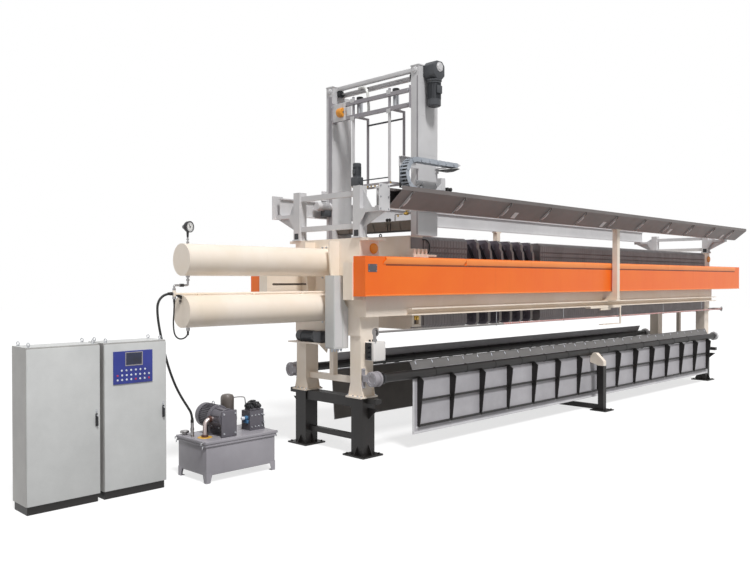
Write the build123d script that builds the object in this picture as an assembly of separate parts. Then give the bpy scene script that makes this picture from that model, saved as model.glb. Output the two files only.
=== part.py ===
from build123d import *
import math
import os

# Plate filter press with its cloth washing tower, hydraulic unit and control cabinets.
# Millimetres. While it is laid out, X runs from the cylinder end (stand centre at X 0) to the
# feed end, Y 0 is the middle plane and Z 0 is the floor. The near side is -Y.
# Written parts are moved so that the origin is the middle of the footprint, on the floor.

# Filter plates
plate_size = 1500
plate_thickness = 75
plate_lift = 980
plate_gap = 258
parted_plates = 6
front_pack_plates = 15
rear_pack_plates = 104
plate_corner = 60
handle_reach = 130
handle_height = 110
closed_gap = 5
seat_gap = 0.3

# Heads
head_retreat = 730
head_thickness = 310
head_side_gap = 60
head_rib = 40
feed_head_thickness = 310
feed_bore_radius = 90
feed_flange_radius = 190
feed_flange_thickness = 40
feed_neck_length = 150
feed_neck_radius = 125
feed_bolt_circle = 310
feed_bolt_count = 8
feed_bolt_radius = 12

# Stands
stand_foot_length = 420
stand_foot_width = 450
stand_foot_thickness = 25
stand_post = 250
stand_post_shift = 25
stand_beam_depth = 150
stand_beam_width = 200
stand_top_z = 880
stand_stub_depth = 75
stand_stub_width = 120
stand_stub_reach = 340
stand_tube = 80
stand_tube_z = 260
anchor_hole_radius = 13
anchor_inset = 60

# Middle stand and its pipe saddles
middle_stand_x = 6250
middle_stand_reach = 250
middle_post = 120
middle_foot = 350
middle_foot_thickness = 20
middle_stand_drop = 270
middle_tie_depth = 90
middle_tie_width = 100
saddle_length = 110
saddle_clearance = 0.4
saddle_lap = 17
saddle_root = 60

# Thrust frame
frame_back_x = -150
frame_length = 400
frame_bottom_drop = 50
frame_top_drop = 80
frame_plate = 40
frame_wall = 60
frame_top_overhang = 150
frame_rib_gap = 55
frame_rib_reach = 200
frame_rib_thickness = 30
tie_lug_reach = 200
far_lug_reach = 690
tie_lug_width = 200
tie_lug_lap = 20
tie_lug_bottom_drop = 54
tie_lug_top_drop = 85
column_length = 260
column_width = 230
column_base_thickness = 25
column_base_margin = 50
cross_beam_rise = 200
cross_beam_depth = 90
cross_beam_width = 110
middle_prop = 90

# Hydraulic cylinders and rods
cylinder_rise = 310
cylinder_drop = 380
cylinder_length = 2550
cylinder_radius = 215
cylinder_wall = 35
cylinder_cap = 60
rod_radius = 130
rod_clearance = 0.5
piston_length = 120
piston_clearance = 0.5
piston_setback = 60

# Side beams and covers
beam_clearance = 30
beam_web = 100
beam_height = 540
beam_rise = 30
beam_flange = 20
lower_rail_height = 95
lower_flange_reach = 220
beam_low_start_x = 730
beam_overrun = 930
cover_reach = 270
cover_sheet = 5
cover_drop = 230
cover_rise = 360
cover_setback = 20
cover_overhang = 660
cover_top_width = 130

# Gantries, rails, trough
gantry_post = 150
gantry_inset = 50
gantry_x = -100
gantry_rise = 50
feed_gantry_shift = 40
feed_gantry_drop = 150
gantry_bar_depth = 80
gantry_low_bar_drop = 290
gantry_bar_drop = 60
gantry_gusset = 12
bracket_plate_rise = 40
gantry_foot_flare = 60
gantry_foot_height = 140
rail_lift = 350
rail_height = 290
rail_clearance = 40
rail_width = 80
rail_web = 16
rail_flange = 20
bracket_depth = 60
bracket_overrun = 80
bracket_end_plate = 12
bracket_plate_length = 220
gusset_depth = 220
trough_width = 330
trough_sheet = 6
trough_lip = 60
trough_overrun = 635
trough_keel = 40
trough_rib_start = 245
trough_rib_pitch = 1225
trough_rib_thickness = 12
trough_rib_depth = 40
near_column_x = 6920
far_column_x = 5860
rail_column_size = 110
rail_column_plate = 25
rail_column_margin = 40

# Washing tower
leg_start_x = 800
leg_length = 445
leg_clearance = 20
leg_width = 160
leg_drop = 370
leg_height = 2480
leg_cap_height = 160
leg_cap_length = 260
tower_bar = 70
tower_bar_rise = 90
tower_bar_sink = 5
tower_bar_back = 225
travel_plate = 22
travel_plate_length = 640
travel_plate_height = 170
travel_plate_rise = 15
wheel_radius = 60
wheel_width = 55
wheel_spacing = 480
tray_length = 330
tray_rise = 100
tray_height = 150
tray_wall = 12
cage_half_width = 420
cage_length = 340
cage_rod = 32
cage_rod_rise = 100
cage_lift = 610
carriage_bar = 60
carriage_inset = 30
carriage_drop = 200
carriage_spacing = 230
carriage_end_plate = 14
gearmotor_width = 245
gearmotor_height = 280
gearmotor_rise = 200
motor_radius = 120
motor_length = 405
chain_width = 150
chain_depth = 70
chain_radius = 260
chain_lead = 1095
chain_run = 920
chain_inset = 80
chain_bracket_grip = 60
travel_gearbox = 140
travel_motor_radius = 65
travel_motor_length = 210
travel_motor_inset = 60

# Drip doors
hinge_reach = 200
hinge_rise = 300
door_pipe_radius = 70
door_pipe_start_x = 30
leaf_start_gap = 770
leaf_end_gap = 370
leaf_tip = 940
leaf_top_gap = 5
leaf_sheet = 6
leaf_bays = 14
leaf_margin = 110
rib_thickness = 14
rib_top_depth = 130
rib_bottom_depth = 50
door_rail_depth = 40
door_rail_height = 30
flap_length = 150
flap_angle = 27
far_leaf_lean = 5
drive_radius = 115
drive_length = 150
drive_arm_height = 150
drive_plate_height = 300
drive_plate_thickness = 30
drive_plate_length = 60
bearing_length = 90
bearing_radius = 110
bearing_setback = 60

# Pull cord
cord_inset = 10
cord_rise = 145
cord_radius = 9
cord_start_x = -20
cord_end_gap = 330
cord_eye_radius = 34
cord_plate = 12
cord_arm = 60
cord_grip = 100

# Electric boxes and shelf motor
tall_box_reach = 290
tall_box_length = 180
tall_box_width = 200
tall_box_step_rise = 100
tall_box_wide_height = 710
tall_box_narrow_height = 387
terminal_box_length = 250
terminal_box_depth = 200
terminal_box_height = 290
terminal_box_drop = 370
terminal_box_inset = 80
shelf_length = 220
shelf_thickness = 20
shelf_y = -80
shelf_width = 780
shelf_drop = 130
shelf_motor_radius = 90
shelf_motor_length = 430
shelf_gearbox = 180
shelf_motor_margin = 20

# Hydraulic unit
tank_x = -2600
tank_length = 1110
tank_y = -430
tank_width = 690
tank_leg_height = 100
tank_leg = 70
tank_top_z = 490
tank_lid_height = 60
tank_lid_overhang = 25
unit_motor_radius = 165
unit_motor_length = 350
unit_motor_inset = 400
unit_motor_setback = 10
unit_bell_length = 240
unit_bell_radius = 140
unit_plate_width = 240
unit_plate_rise = 120
unit_plate_thickness = 30
unit_foot_height = 70
unit_foot_half = 110
unit_foot_setback = 50
elbow_radius = 28
elbow_reach = 110
elbow_bend = 75
elbow_setback = 60
filter_radius = 95
filter_height = 500
filter_inset = 682
filter_setback = 160
breather_radius = 60
breather_height = 60
breather_inset = 60
manifold_length = 260
manifold_width = 200
manifold_height = 270
manifold_inset = 10
manifold_setback = 210
valve_stack_height = 140
valve_stack_inset = 30

# Hoses and pipes
hose_radius = 16
hose_ferrule_radius = 26
short_hose_radius = 10
pipe_radius = 14
tee_radius = 24
tee_reach = 110
tee_rise = 240
tee_length = 70
tee_branch = 30
tee_branch_radius = 22
pipe_rise = 110
port_inset = 95
port_radius = 28
port_height = 40
gauge_radius = 76
gauge_depth = 45
gauge_rise = 222
gauge_stem_radius = 10

# Control cabinets
cabinet_left_x = -4790
cabinet_left_width = 860
cabinet_spacing = 50
cabinet_right_width = 830
cabinet_front_y = -190
cabinet_depth = 400
cabinet_plinth = 100
cabinet_plinth_inset = 15
cabinet_height = 1890
cabinet_sheet = 20
cabinet_door_thickness = 25
cabinet_door_margin = 18
cabinet_door_gap = 3
cabinet_handle_height = 130
cabinet_handle_width = 28
cabinet_handle_depth = 22
cabinet_handle_inset = 75
panel_width = 520
panel_inset = 110
panel_height = 400
panel_depth = 14
panel_top_drop = 90

# Heights worked out from the sizes above
plate_half = plate_size / 2
plate_bottom_z = stand_top_z + plate_lift
plate_centre_z = plate_bottom_z + plate_half
plate_top_z = plate_bottom_z + plate_size
frame_bottom_z = plate_bottom_z - frame_bottom_drop
frame_top_z = plate_top_z - frame_top_drop
column_foot_z = stand_top_z + column_base_thickness
cross_beam_z = stand_top_z + cross_beam_rise
cylinder_upper_z = plate_centre_z + cylinder_rise
cylinder_lower_z = plate_centre_z - cylinder_drop
beam_top_z = plate_centre_z + beam_rise
beam_bottom_z = beam_top_z - beam_height
cover_bottom_z = beam_top_z - cover_drop
cover_top_z = beam_top_z + cover_rise
tie_lug_bottom_z = cover_bottom_z - tie_lug_bottom_drop
tie_lug_top_z = cover_top_z - tie_lug_top_drop
rail_bottom_z = plate_top_z + rail_lift
rail_top_z = rail_bottom_z + rail_height
gantry_top_z = rail_top_z + gantry_rise
feed_gantry_top_z = rail_top_z - feed_gantry_drop
gantry_low_bar_z = rail_bottom_z - gantry_low_bar_drop
trough_floor_z = rail_top_z - trough_lip + trough_sheet
leg_bottom_z = rail_bottom_z - leg_drop
leg_top_z = leg_bottom_z + leg_height
tower_bar_high_z = leg_top_z + tower_bar_rise
tower_bar_low_z = leg_top_z - tower_bar_sink
tray_bottom_z = leg_bottom_z + tray_rise
cage_bottom_z = tray_bottom_z + tray_height + cage_lift
carriage_high_z = leg_top_z - carriage_drop
carriage_low_z = carriage_high_z - carriage_spacing
hinge_z = stand_top_z + hinge_rise
middle_top_z = hinge_z - middle_stand_drop
terminal_box_z = frame_bottom_z - terminal_box_drop
cord_z = terminal_box_z + terminal_box_height + cord_rise
tall_box_step_z = cylinder_lower_z + tall_box_step_rise
tall_box_bottom_z = tall_box_step_z - tall_box_wide_height
tall_box_top_z = tall_box_step_z + tall_box_narrow_height
shelf_top_z = frame_bottom_z - shelf_drop
tee_z = cylinder_lower_z + tee_rise
gauge_z = cylinder_upper_z + cylinder_radius + gauge_rise
lid_z = tank_top_z + tank_lid_height
unit_axis_z = lid_z + unit_foot_height + unit_motor_radius

# Places across the machine
frame_half_width = plate_half
column_y = frame_half_width - column_width / 2
stand_post_y = column_y + stand_post_shift
stand_stub_y = stand_post_y + stand_stub_reach
frame_rib_y = cylinder_radius + frame_rib_gap
beam_inner_y = plate_half + beam_clearance
beam_flange_y = beam_inner_y + lower_flange_reach
head_half_width = beam_inner_y - head_side_gap
tie_lug_outer_y = beam_inner_y + tie_lug_lap
tie_lug_inner_y = tie_lug_outer_y - tie_lug_width
cover_outer_y = beam_inner_y + cover_reach
gantry_post_y = frame_half_width - gantry_inset
rail_inner_y = cover_outer_y + rail_clearance
rail_outer_y = rail_inner_y + rail_width
bracket_end_y = rail_outer_y + bracket_overrun
trough_outer_y = rail_outer_y + trough_width
trough_keel_y = rail_outer_y + trough_keel
chain_outer_y = trough_outer_y - chain_inset
leg_outer_y = rail_inner_y - leg_clearance
leg_inner_y = leg_outer_y - leg_width
hinge_y = frame_half_width + hinge_reach
middle_stand_y = hinge_y + middle_stand_reach
cord_y = frame_half_width + terminal_box_depth - cord_inset
cabinet_back_y = cabinet_front_y + cabinet_depth

# Places along the machine
frame_front_x = frame_back_x + frame_length
cylinder_rear_x = frame_back_x - cylinder_length
bore_radius = cylinder_radius - cylinder_wall
port_x = cylinder_rear_x + port_inset
tee_x = cylinder_rear_x - tee_reach
head_back_x = frame_front_x + head_retreat
head_face_x = head_back_x + head_thickness
front_pack_x = head_face_x + seat_gap
front_pack_end_x = front_pack_x + front_pack_plates * plate_thickness
plate_pitch = plate_gap + plate_thickness
rear_pack_x = front_pack_end_x + parted_plates * plate_pitch + plate_gap
rear_pack_end_x = rear_pack_x + rear_pack_plates * plate_thickness
closing_stroke = (parted_plates + 1) * (plate_gap - closed_gap)
feed_stand_x = rear_pack_end_x + column_length / 2
feed_gantry_x = rear_pack_end_x + feed_head_thickness / 2 + feed_gantry_shift
beam_end_x = rear_pack_end_x + beam_overrun
near_cover_start_x = frame_back_x - tie_lug_reach + cover_setback
far_cover_start_x = frame_back_x - far_lug_reach + cover_setback
cover_end_x = beam_end_x + cover_overhang
cord_end_x = beam_end_x - cord_end_gap
trough_start_x = gantry_x + gantry_post / 2
trough_end_x = feed_gantry_x + trough_overrun
leg_end_x = leg_start_x + leg_length
leg_middle_x = leg_start_x + leg_length / 2
tower_bar_back_x = leg_start_x + tower_bar_back
carriage_x = leg_start_x + carriage_inset
cage_back_x = carriage_x + cage_length
chain_start_x = leg_end_x - chain_lead
door_pipe_end_x = feed_stand_x - bearing_setback
leaf_start_x = door_pipe_start_x + leaf_start_gap
leaf_end_x = door_pipe_end_x - leaf_end_gap
tall_box_x = frame_back_x - tall_box_reach
tank_back_y = tank_y + tank_width
unit_axis_x = tank_x + unit_motor_inset
unit_motor_y = tank_back_y - unit_motor_setback - unit_motor_length
cabinet_right_x = cabinet_left_x + cabinet_left_width + cabinet_spacing


def block(x, y, z):
    """A box from its low and high limits along each axis."""
    size = Box(x[1] - x[0], y[1] - y[0], z[1] - z[0])
    return Pos((x[0] + x[1]) / 2, (y[0] + y[1]) / 2, (z[0] + z[1]) / 2) * size


def rod_along_x(x, y, z, radius):
    length = x[1] - x[0]
    return Pos((x[0] + x[1]) / 2, y, z) * Rot(0, 90, 0) * Cylinder(radius, length)


def rod_along_y(x, y, z, radius):
    length = y[1] - y[0]
    return Pos(x, (y[0] + y[1]) / 2, z) * Rot(90, 0, 0) * Cylinder(radius, length)


def rod_along_z(x, y, z, radius):
    return Pos(x, y, (z[0] + z[1]) / 2) * Cylinder(radius, z[1] - z[0])


def fuse(pieces):
    """One solid from pieces that meet or cross."""
    whole = pieces[0]
    for piece in pieces[1:]:
        whole = whole + piece
    return whole


def both_sides(piece):
    """A piece and its mirror image across the middle plane."""
    return [piece, mirror(piece, Plane.XZ)]


def plane_yz_prism(points, x):
    """A prism along X from its outline in Y and Z."""
    outline = Polyline(*[(0, y, z) for y, z in points], close=True)
    face = Face(Wire(outline.edges()))
    return extrude(Pos(x[0], 0, 0) * face, amount=x[1] - x[0], dir=(1, 0, 0))


def plane_xz_prism(points, y):
    """A prism along Y from its outline in X and Z."""
    outline = Polyline(*[(x, 0, z) for x, z in points], close=True)
    face = Face(Wire(outline.edges()))
    return extrude(Pos(0, y[0], 0) * face, amount=y[1] - y[0], dir=(0, 1, 0))


# Stands
def stand_foot(x, y):
    plate = block((x - stand_foot_length / 2, x + stand_foot_length / 2),
                  (y - stand_foot_width / 2, y + stand_foot_width / 2), (0, stand_foot_thickness))
    hole_x = stand_foot_length / 2 - anchor_inset
    hole_y = stand_foot_width / 2 - anchor_inset
    for side_x in (-1, 1):
        for side_y in (-1, 1):
            plate -= rod_along_z(x + side_x * hole_x, y + side_y * hole_y,
                                 (-1, stand_foot_thickness + 1), anchor_hole_radius)
    return plate


def end_stand(x):
    half = stand_post / 2
    pieces = []
    for side in (-1, 1):
        y = side * stand_post_y
        pieces.append(stand_foot(x, y))
        pieces.append(block((x - half, x + half), (y - half, y + half),
                            (stand_foot_thickness, stand_top_z)))
    inner = stand_post_y - half
    pieces.append(block((x - stand_beam_width / 2, x + stand_beam_width / 2), (-inner, inner),
                        (stand_top_z - stand_beam_depth, stand_top_z)))
    pieces.append(block((x - stand_stub_width / 2, x + stand_stub_width / 2),
                        (-stand_stub_y, stand_stub_y),
                        (stand_top_z - stand_stub_depth, stand_top_z)))
    pieces.append(block((x - stand_tube / 2, x + stand_tube / 2), (-inner, inner),
                        (stand_tube_z - stand_tube / 2, stand_tube_z + stand_tube / 2)))
    return fuse(pieces)


def middle_stand():
    x = middle_stand_x
    half = middle_post / 2
    pieces = []
    for side in (-1, 1):
        y = side * middle_stand_y
        pieces.append(block((x - middle_foot / 2, x + middle_foot / 2),
                            (y - middle_foot / 2, y + middle_foot / 2), (0, middle_foot_thickness)))
        pieces.append(block((x - half, x + half), (y - half, y + half),
                            (middle_foot_thickness, middle_top_z)))
    inner = middle_stand_y - half
    pieces.append(block((x - middle_tie_width / 2, x + middle_tie_width / 2), (-inner, inner),
                        (middle_foot_thickness, middle_foot_thickness + middle_tie_depth)))
    return fuse(pieces)


def pipe_saddle():
    """Bracket on the middle stand that holds the door pipe from outside and below."""
    x = middle_stand_x
    half = saddle_length / 2
    outer = middle_stand_y + middle_post / 2
    inner = hinge_y + leaf_sheet * 2
    top = hinge_z - saddle_lap
    points = [(-outer, middle_top_z), (-outer, middle_top_z + middle_tie_depth),
              (-hinge_y - 2 * door_pipe_radius, top), (-inner, top), (-inner, middle_top_z + saddle_root),
              (-middle_stand_y + middle_post / 2, middle_top_z)]
    body = plane_yz_prism(points, (x - half, x + half))
    return body - rod_along_x((x - half - 1, x + half + 1), -hinge_y, hinge_z,
                              door_pipe_radius + saddle_clearance)


# Thrust frame
def frame_columns(x):
    half_x = column_length / 2
    half_y = column_width / 2
    foot = column_base_margin
    pieces = []
    for side in (-1, 1):
        y = side * column_y
        pieces.append(block((x - half_x - foot, x + half_x + foot), (y - half_y - foot, y + half_y + foot),
                            (stand_top_z, column_foot_z)))
        pieces.append(block((x - half_x, x + half_x), (y - half_y, y + half_y),
                            (column_foot_z, frame_bottom_z)))
    inner = column_y - half_y
    pieces.append(block((x - cross_beam_width / 2, x + cross_beam_width / 2), (-inner, inner),
                        (cross_beam_z, cross_beam_z + cross_beam_depth)))
    pieces.append(block((x - middle_prop / 2, x + middle_prop / 2), (-middle_prop / 2, middle_prop / 2),
                        (cross_beam_z + cross_beam_depth, frame_bottom_z)))
    return fuse(pieces)


def thrust_frame():
    x = (frame_back_x, frame_front_x)
    half = frame_half_width
    under_top = frame_top_z - frame_plate
    over_bottom = frame_bottom_z + frame_plate
    pieces = [
        block((x[0], x[0] + frame_wall), (-half, half), (over_bottom, under_top)),
        block((x[1] - frame_wall, x[1]), (-half, half), (over_bottom, under_top)),
        block(x, (-half, half), (frame_bottom_z, over_bottom)),
        block(x, (-half - frame_top_overhang, half + frame_top_overhang), (under_top, frame_top_z)),
    ]
    wall = block(x, (half - frame_wall, half), (over_bottom, under_top))
    pad = block(x, (half, beam_inner_y), (beam_bottom_z, beam_top_z))
    lug_z = (tie_lug_bottom_z, tie_lug_top_z)
    pieces.append(block((x[0] - tie_lug_reach, x[0]), (-tie_lug_outer_y, -tie_lug_inner_y), lug_z))
    pieces.append(block((x[0] - far_lug_reach, x[0]), (tie_lug_inner_y, tie_lug_outer_y), lug_z))
    rib_bottom_z = cylinder_lower_z - cylinder_radius
    rib = plane_xz_prism([(x[0], rib_bottom_z), (x[0] - frame_rib_reach / 2, rib_bottom_z),
                          (x[0] - frame_rib_reach, under_top - frame_rib_reach),
                          (x[0] - frame_rib_reach, under_top), (x[0], under_top)],
                         (frame_rib_y, frame_rib_y + frame_rib_thickness))
    for piece in (wall, pad, rib):
        pieces += both_sides(piece)
    body = fuse(pieces)
    for z in (cylinder_upper_z, cylinder_lower_z):
        body -= rod_along_x((x[0] - 1, x[1] + 1), 0, z, rod_radius + rod_clearance)
    return body


# Cylinders and rods
def hydraulic_cylinder(z):
    outside = rod_along_x((cylinder_rear_x, frame_back_x), 0, z, cylinder_radius)
    bore = rod_along_x((cylinder_rear_x + cylinder_cap, frame_back_x - cylinder_cap), 0, z, bore_radius)
    neck = rod_along_x((frame_back_x - cylinder_cap - 1, frame_back_x + 1), 0, z,
                       rod_radius + rod_clearance)
    return outside - bore - neck


def piston_rod(z):
    piston_x = cylinder_rear_x + cylinder_cap + piston_setback
    piston = rod_along_x((piston_x, piston_x + piston_length), 0, z, bore_radius - piston_clearance)
    return piston + rod_along_x((piston_x + piston_length, head_back_x), 0, z, rod_radius)


# Side beams and their covers
def side_beam():
    x = (frame_back_x, beam_end_x)
    inner = beam_inner_y
    web = block(x, (inner, inner + beam_web), (beam_bottom_z, beam_top_z))
    low = block((feed_stand_x, beam_end_x + 1), (inner - 1, inner + beam_web + 1),
                (beam_bottom_z - 1, cover_bottom_z))
    web -= low
    top = block(x, (inner, cover_outer_y - cover_sheet), (beam_top_z - beam_flange, beam_top_z))
    low_x = (beam_low_start_x, feed_stand_x)
    flange = block(low_x, (inner, beam_flange_y), (beam_bottom_z, beam_bottom_z + beam_flange))
    rail = block(low_x, (inner, beam_flange_y),
                 (beam_bottom_z + lower_rail_height, beam_bottom_z + lower_rail_height + beam_flange))
    return fuse([web, top, flange, rail])


def beam_cover(start_x):
    x = (start_x, cover_end_x)
    face = block(x, (cover_outer_y - cover_sheet, cover_outer_y), (cover_bottom_z, cover_top_z))
    top = block(x, (cover_outer_y - cover_top_width, cover_outer_y),
                (cover_top_z - cover_sheet, cover_top_z))
    left = block((x[0], x[0] + cover_sheet), (tie_lug_outer_y + 1, cover_outer_y),
                 (cover_bottom_z, cover_top_z))
    right = block((x[1] - cover_sheet, x[1]), (tie_lug_outer_y + 1, cover_outer_y),
                  (cover_bottom_z, cover_top_z))
    return fuse([face, top, left, right])


# Plates and heads
def plate_handles(x):
    """Side handles that rest on the beams, and the roller pads of the moving head."""
    handle = block(x, (plate_half - 1, plate_half + handle_reach),
                   (beam_top_z + seat_gap, beam_top_z + seat_gap + handle_height))
    return both_sides(handle)


def plate_block(x):
    """Chamfered square block between two X places."""
    low = plate_bottom_z
    high = plate_top_z
    cut = plate_corner
    points = [(-plate_half + cut, low), (plate_half - cut, low), (plate_half, low + cut),
              (plate_half, high - cut), (plate_half - cut, high), (-plate_half + cut, high),
              (-plate_half, high - cut), (-plate_half, low + cut)]
    return plane_yz_prism(points, x)


def plate_pack(x):
    return fuse([plate_block(x)] + plate_handles(x))


def moving_head():
    x = (head_back_x, head_face_x)
    half = head_half_width
    body = block(x, (-half, half), (plate_bottom_z, plate_top_z))
    bracket = block((x[0] + head_rib, x[1] - head_rib), (half - 1, plate_half + handle_reach),
                    (beam_top_z + seat_gap, beam_top_z + handle_height))
    return fuse([body] + both_sides(bracket))


def feed_head():
    x = (rear_pack_end_x, rear_pack_end_x + feed_head_thickness)
    body = block(x, (-frame_half_width, frame_half_width), (frame_bottom_z, plate_top_z))
    pad = block(x, (frame_half_width - 1, beam_inner_y), (cover_bottom_z, beam_top_z))
    neck_end = x[1] + feed_neck_length
    neck = rod_along_x((x[1] - 1, neck_end), 0, plate_centre_z, feed_neck_radius)
    flange = rod_along_x((neck_end, neck_end + feed_flange_thickness), 0, plate_centre_z,
                         feed_flange_radius)
    head = fuse([body, neck, flange] + both_sides(pad))
    head -= rod_along_x((x[0] + frame_wall, neck_end + feed_flange_thickness + 1), 0, plate_centre_z,
                        feed_bore_radius)
    for index in range(feed_bolt_count):
        angle = math.radians(360 * (index + 0.5) / feed_bolt_count)
        y = feed_bolt_circle / 2 * math.cos(angle)
        z = plate_centre_z + feed_bolt_circle / 2 * math.sin(angle)
        head -= rod_along_x((neck_end - 1, neck_end + feed_flange_thickness + 1), y, z, feed_bolt_radius)
    return head


# Gantries, rails and trough
def gantry(x, foot_z, top_z, near_reach):
    """Portal with arms for the rails; near_reach is how far the near arm goes."""
    half = gantry_post / 2
    outer = gantry_post_y + half
    inner = gantry_post_y - half
    arm_z = (rail_bottom_z - bracket_depth, rail_bottom_z)
    pieces = []
    for side in (-1, 1):
        y = side * gantry_post_y
        reach = bracket_end_y if side > 0 else near_reach
        pieces.append(block((x - half, x + half), (y - half, y + half), (foot_z, top_z)))
        flare = [(y - half - gantry_foot_flare, foot_z), (y + half + gantry_foot_flare, foot_z),
                 (y + half, foot_z + gantry_foot_height), (y - half, foot_z + gantry_foot_height)]
        pieces.append(plane_yz_prism(flare, (x - gantry_gusset / 2, x + gantry_gusset / 2)))
        arm_y = sorted((side * (outer - 1), side * reach))
        pieces.append(block((x - half, x + half), arm_y, arm_z))
        gusset = [(side * (outer - 1), arm_z[0] - gusset_depth), (side * (outer - 1), arm_z[0] + 1),
                  (side * reach, arm_z[0] + 1)]
        pieces.append(plane_yz_prism(gusset, (x - gantry_gusset / 2, x + gantry_gusset / 2)))
        if reach == bracket_end_y:
            plate_y = sorted((side * (reach - bracket_end_plate), side * reach))
            pieces.append(block((x + half - bracket_plate_length, x + half), plate_y,
                                (rail_bottom_z - bracket_depth, rail_top_z + bracket_plate_rise)))
    bar = gantry_bar_depth
    for z in (gantry_low_bar_z, top_z - gantry_bar_drop - bar):
        pieces.append(block((x - bar / 2, x + bar / 2), (-inner, inner), (z, z + bar)))
    return fuse(pieces)


def rail():
    x = (gantry_x - gantry_post / 2, feed_gantry_x + gantry_post / 2)
    y = (rail_inner_y, rail_outer_y)
    middle = (y[0] + y[1]) / 2
    low = block(x, y, (rail_bottom_z, rail_bottom_z + rail_flange))
    high = block(x, y, (rail_top_z - rail_flange, rail_top_z))
    web = block(x, (middle - rail_web / 2, middle + rail_web / 2), (rail_bottom_z, rail_top_z))
    return fuse([low, high, web])


def cable_trough():
    x = (trough_start_x, trough_end_x)
    trough_bottom_z = rail_bottom_z
    back = -rail_outer_y
    outer = -trough_outer_y
    sheet = trough_sheet
    lip_z = rail_top_z - trough_lip
    keel = -trough_keel_y
    wall = block(x, (back - sheet, back), (trough_bottom_z, rail_top_z))
    lip = block(x, (outer, outer + sheet), (lip_z, rail_top_z))
    floor = block(x, (outer, back - sheet + 1), (lip_z, lip_z + sheet))
    slope = plane_yz_prism([(outer, lip_z), (outer, lip_z + sheet), (keel, trough_bottom_z + sheet),
                            (back, trough_bottom_z + sheet), (back, trough_bottom_z),
                            (keel, trough_bottom_z)], x)
    pieces = [wall, lip, floor, slope]
    first_x = trough_start_x + trough_rib_start
    count = int((trough_end_x - first_x) // trough_rib_pitch) + 1
    for index in range(count):
        rib_x = first_x + index * trough_rib_pitch
        rib = plane_yz_prism([(outer, lip_z + sheet / 2), (keel, trough_bottom_z + sheet / 2),
                              (keel - trough_rib_depth, trough_bottom_z), (outer, lip_z - trough_rib_depth)],
                             (rib_x - trough_rib_thickness / 2, rib_x + trough_rib_thickness / 2))
        pieces.append(rib)
    return fuse(pieces)


def rail_column(x):
    """Column from the near beam's lower rail up to the tower's rail."""
    half = rail_column_size / 2
    plate_half_x = half + rail_column_margin
    outer = -rail_inner_y - rail_column_size
    foot_z = beam_bottom_z + lower_rail_height + beam_flange
    plate = rail_column_plate
    foot = block((x - plate_half_x, x + plate_half_x), (outer, -beam_inner_y - beam_web),
                 (foot_z, foot_z + plate))
    post = block((x - half, x + half), (outer, -rail_inner_y), (foot_z + plate, rail_bottom_z - plate))
    head = block((x - plate_half_x, x + plate_half_x), (outer, -rail_inner_y),
                 (rail_bottom_z - plate, rail_bottom_z))
    return fuse([foot, post, head])


# Washing tower
def tower_leg():
    x = (leg_start_x, leg_end_x)
    y = (leg_inner_y, leg_outer_y)
    leg = block(x, y, (leg_bottom_z, leg_top_z))
    cap = block((x[0], x[0] + leg_cap_length), y, (leg_top_z - 1, leg_top_z + leg_cap_height))
    plate_x = (leg_middle_x - travel_plate_length / 2, leg_middle_x + travel_plate_length / 2)
    plate_z = (rail_top_z + travel_plate_rise, rail_top_z + travel_plate_rise + travel_plate_height)
    plate = block(plate_x, (leg_outer_y - 1, leg_outer_y + travel_plate), plate_z)
    wheels = []
    for side in (-1, 1):
        wheels.append(rod_along_y(leg_middle_x + side * wheel_spacing / 2,
                                  (leg_outer_y + travel_plate - 1, leg_outer_y + travel_plate + wheel_width),
                                  rail_top_z + wheel_radius + seat_gap, wheel_radius))
    return fuse([leg, cap, plate] + wheels)


def tower_top():
    """Two bars between the legs."""
    inner = leg_inner_y
    half = tower_bar / 2
    front = leg_start_x + leg_cap_length / 2
    back = tower_bar_back_x
    return [
        block((front - half, front + half), (-inner, inner),
              (tower_bar_high_z, tower_bar_high_z + tower_bar)),
        block((back - half, back + half), (-inner, inner),
              (tower_bar_low_z, tower_bar_low_z + tower_bar)),
    ]


def drip_tray():
    x = (leg_middle_x - tray_length / 2, leg_middle_x + tray_length / 2)
    outside = block(x, (-leg_inner_y, leg_inner_y), (tray_bottom_z, tray_bottom_z + tray_height))
    inside = block((x[0] + tray_wall, x[1] - tray_wall),
                   (-leg_inner_y + tray_wall, leg_inner_y - tray_wall),
                   (tray_bottom_z + tray_wall, tray_bottom_z + tray_height + 1))
    return outside - inside


def spray_carriage():
    """Bars that ride between the legs, with the cage of lances that hangs from them."""
    reach = leg_inner_y - seat_gap
    half = carriage_bar / 2
    pieces = []
    for z in (carriage_low_z, carriage_high_z):
        pieces.append(block((carriage_x - half, carriage_x + half), (-reach, reach), (z - half, z + half)))
    end_half = carriage_bar
    end = block((carriage_x - end_half, carriage_x + end_half), (reach - carriage_end_plate, reach),
                (carriage_low_z - end_half, carriage_high_z + end_half))
    pieces += both_sides(end)
    rod = cage_rod / 2
    x = (carriage_x - rod, cage_back_x + rod)
    side_y = (cage_half_width - rod, cage_half_width + rod)
    foot_z = (cage_bottom_z, cage_bottom_z + cage_rod)
    head_z = (carriage_low_z - rod, carriage_low_z + rod)
    front = block((x[0], x[0] + cage_rod), side_y, (cage_bottom_z, carriage_high_z + cage_rod_rise))
    back = block((x[1] - cage_rod, x[1]), side_y, (cage_bottom_z, head_z[1]))
    low = block(x, side_y, foot_z)
    high = block(x, side_y, head_z)
    for piece in (front, back, low, high):
        pieces += both_sides(piece)
    for bar_x in (x[0], x[1] - cage_rod):
        pieces.append(block((bar_x, bar_x + cage_rod), (-side_y[0], side_y[0]), foot_z))
    return fuse(pieces)


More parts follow.
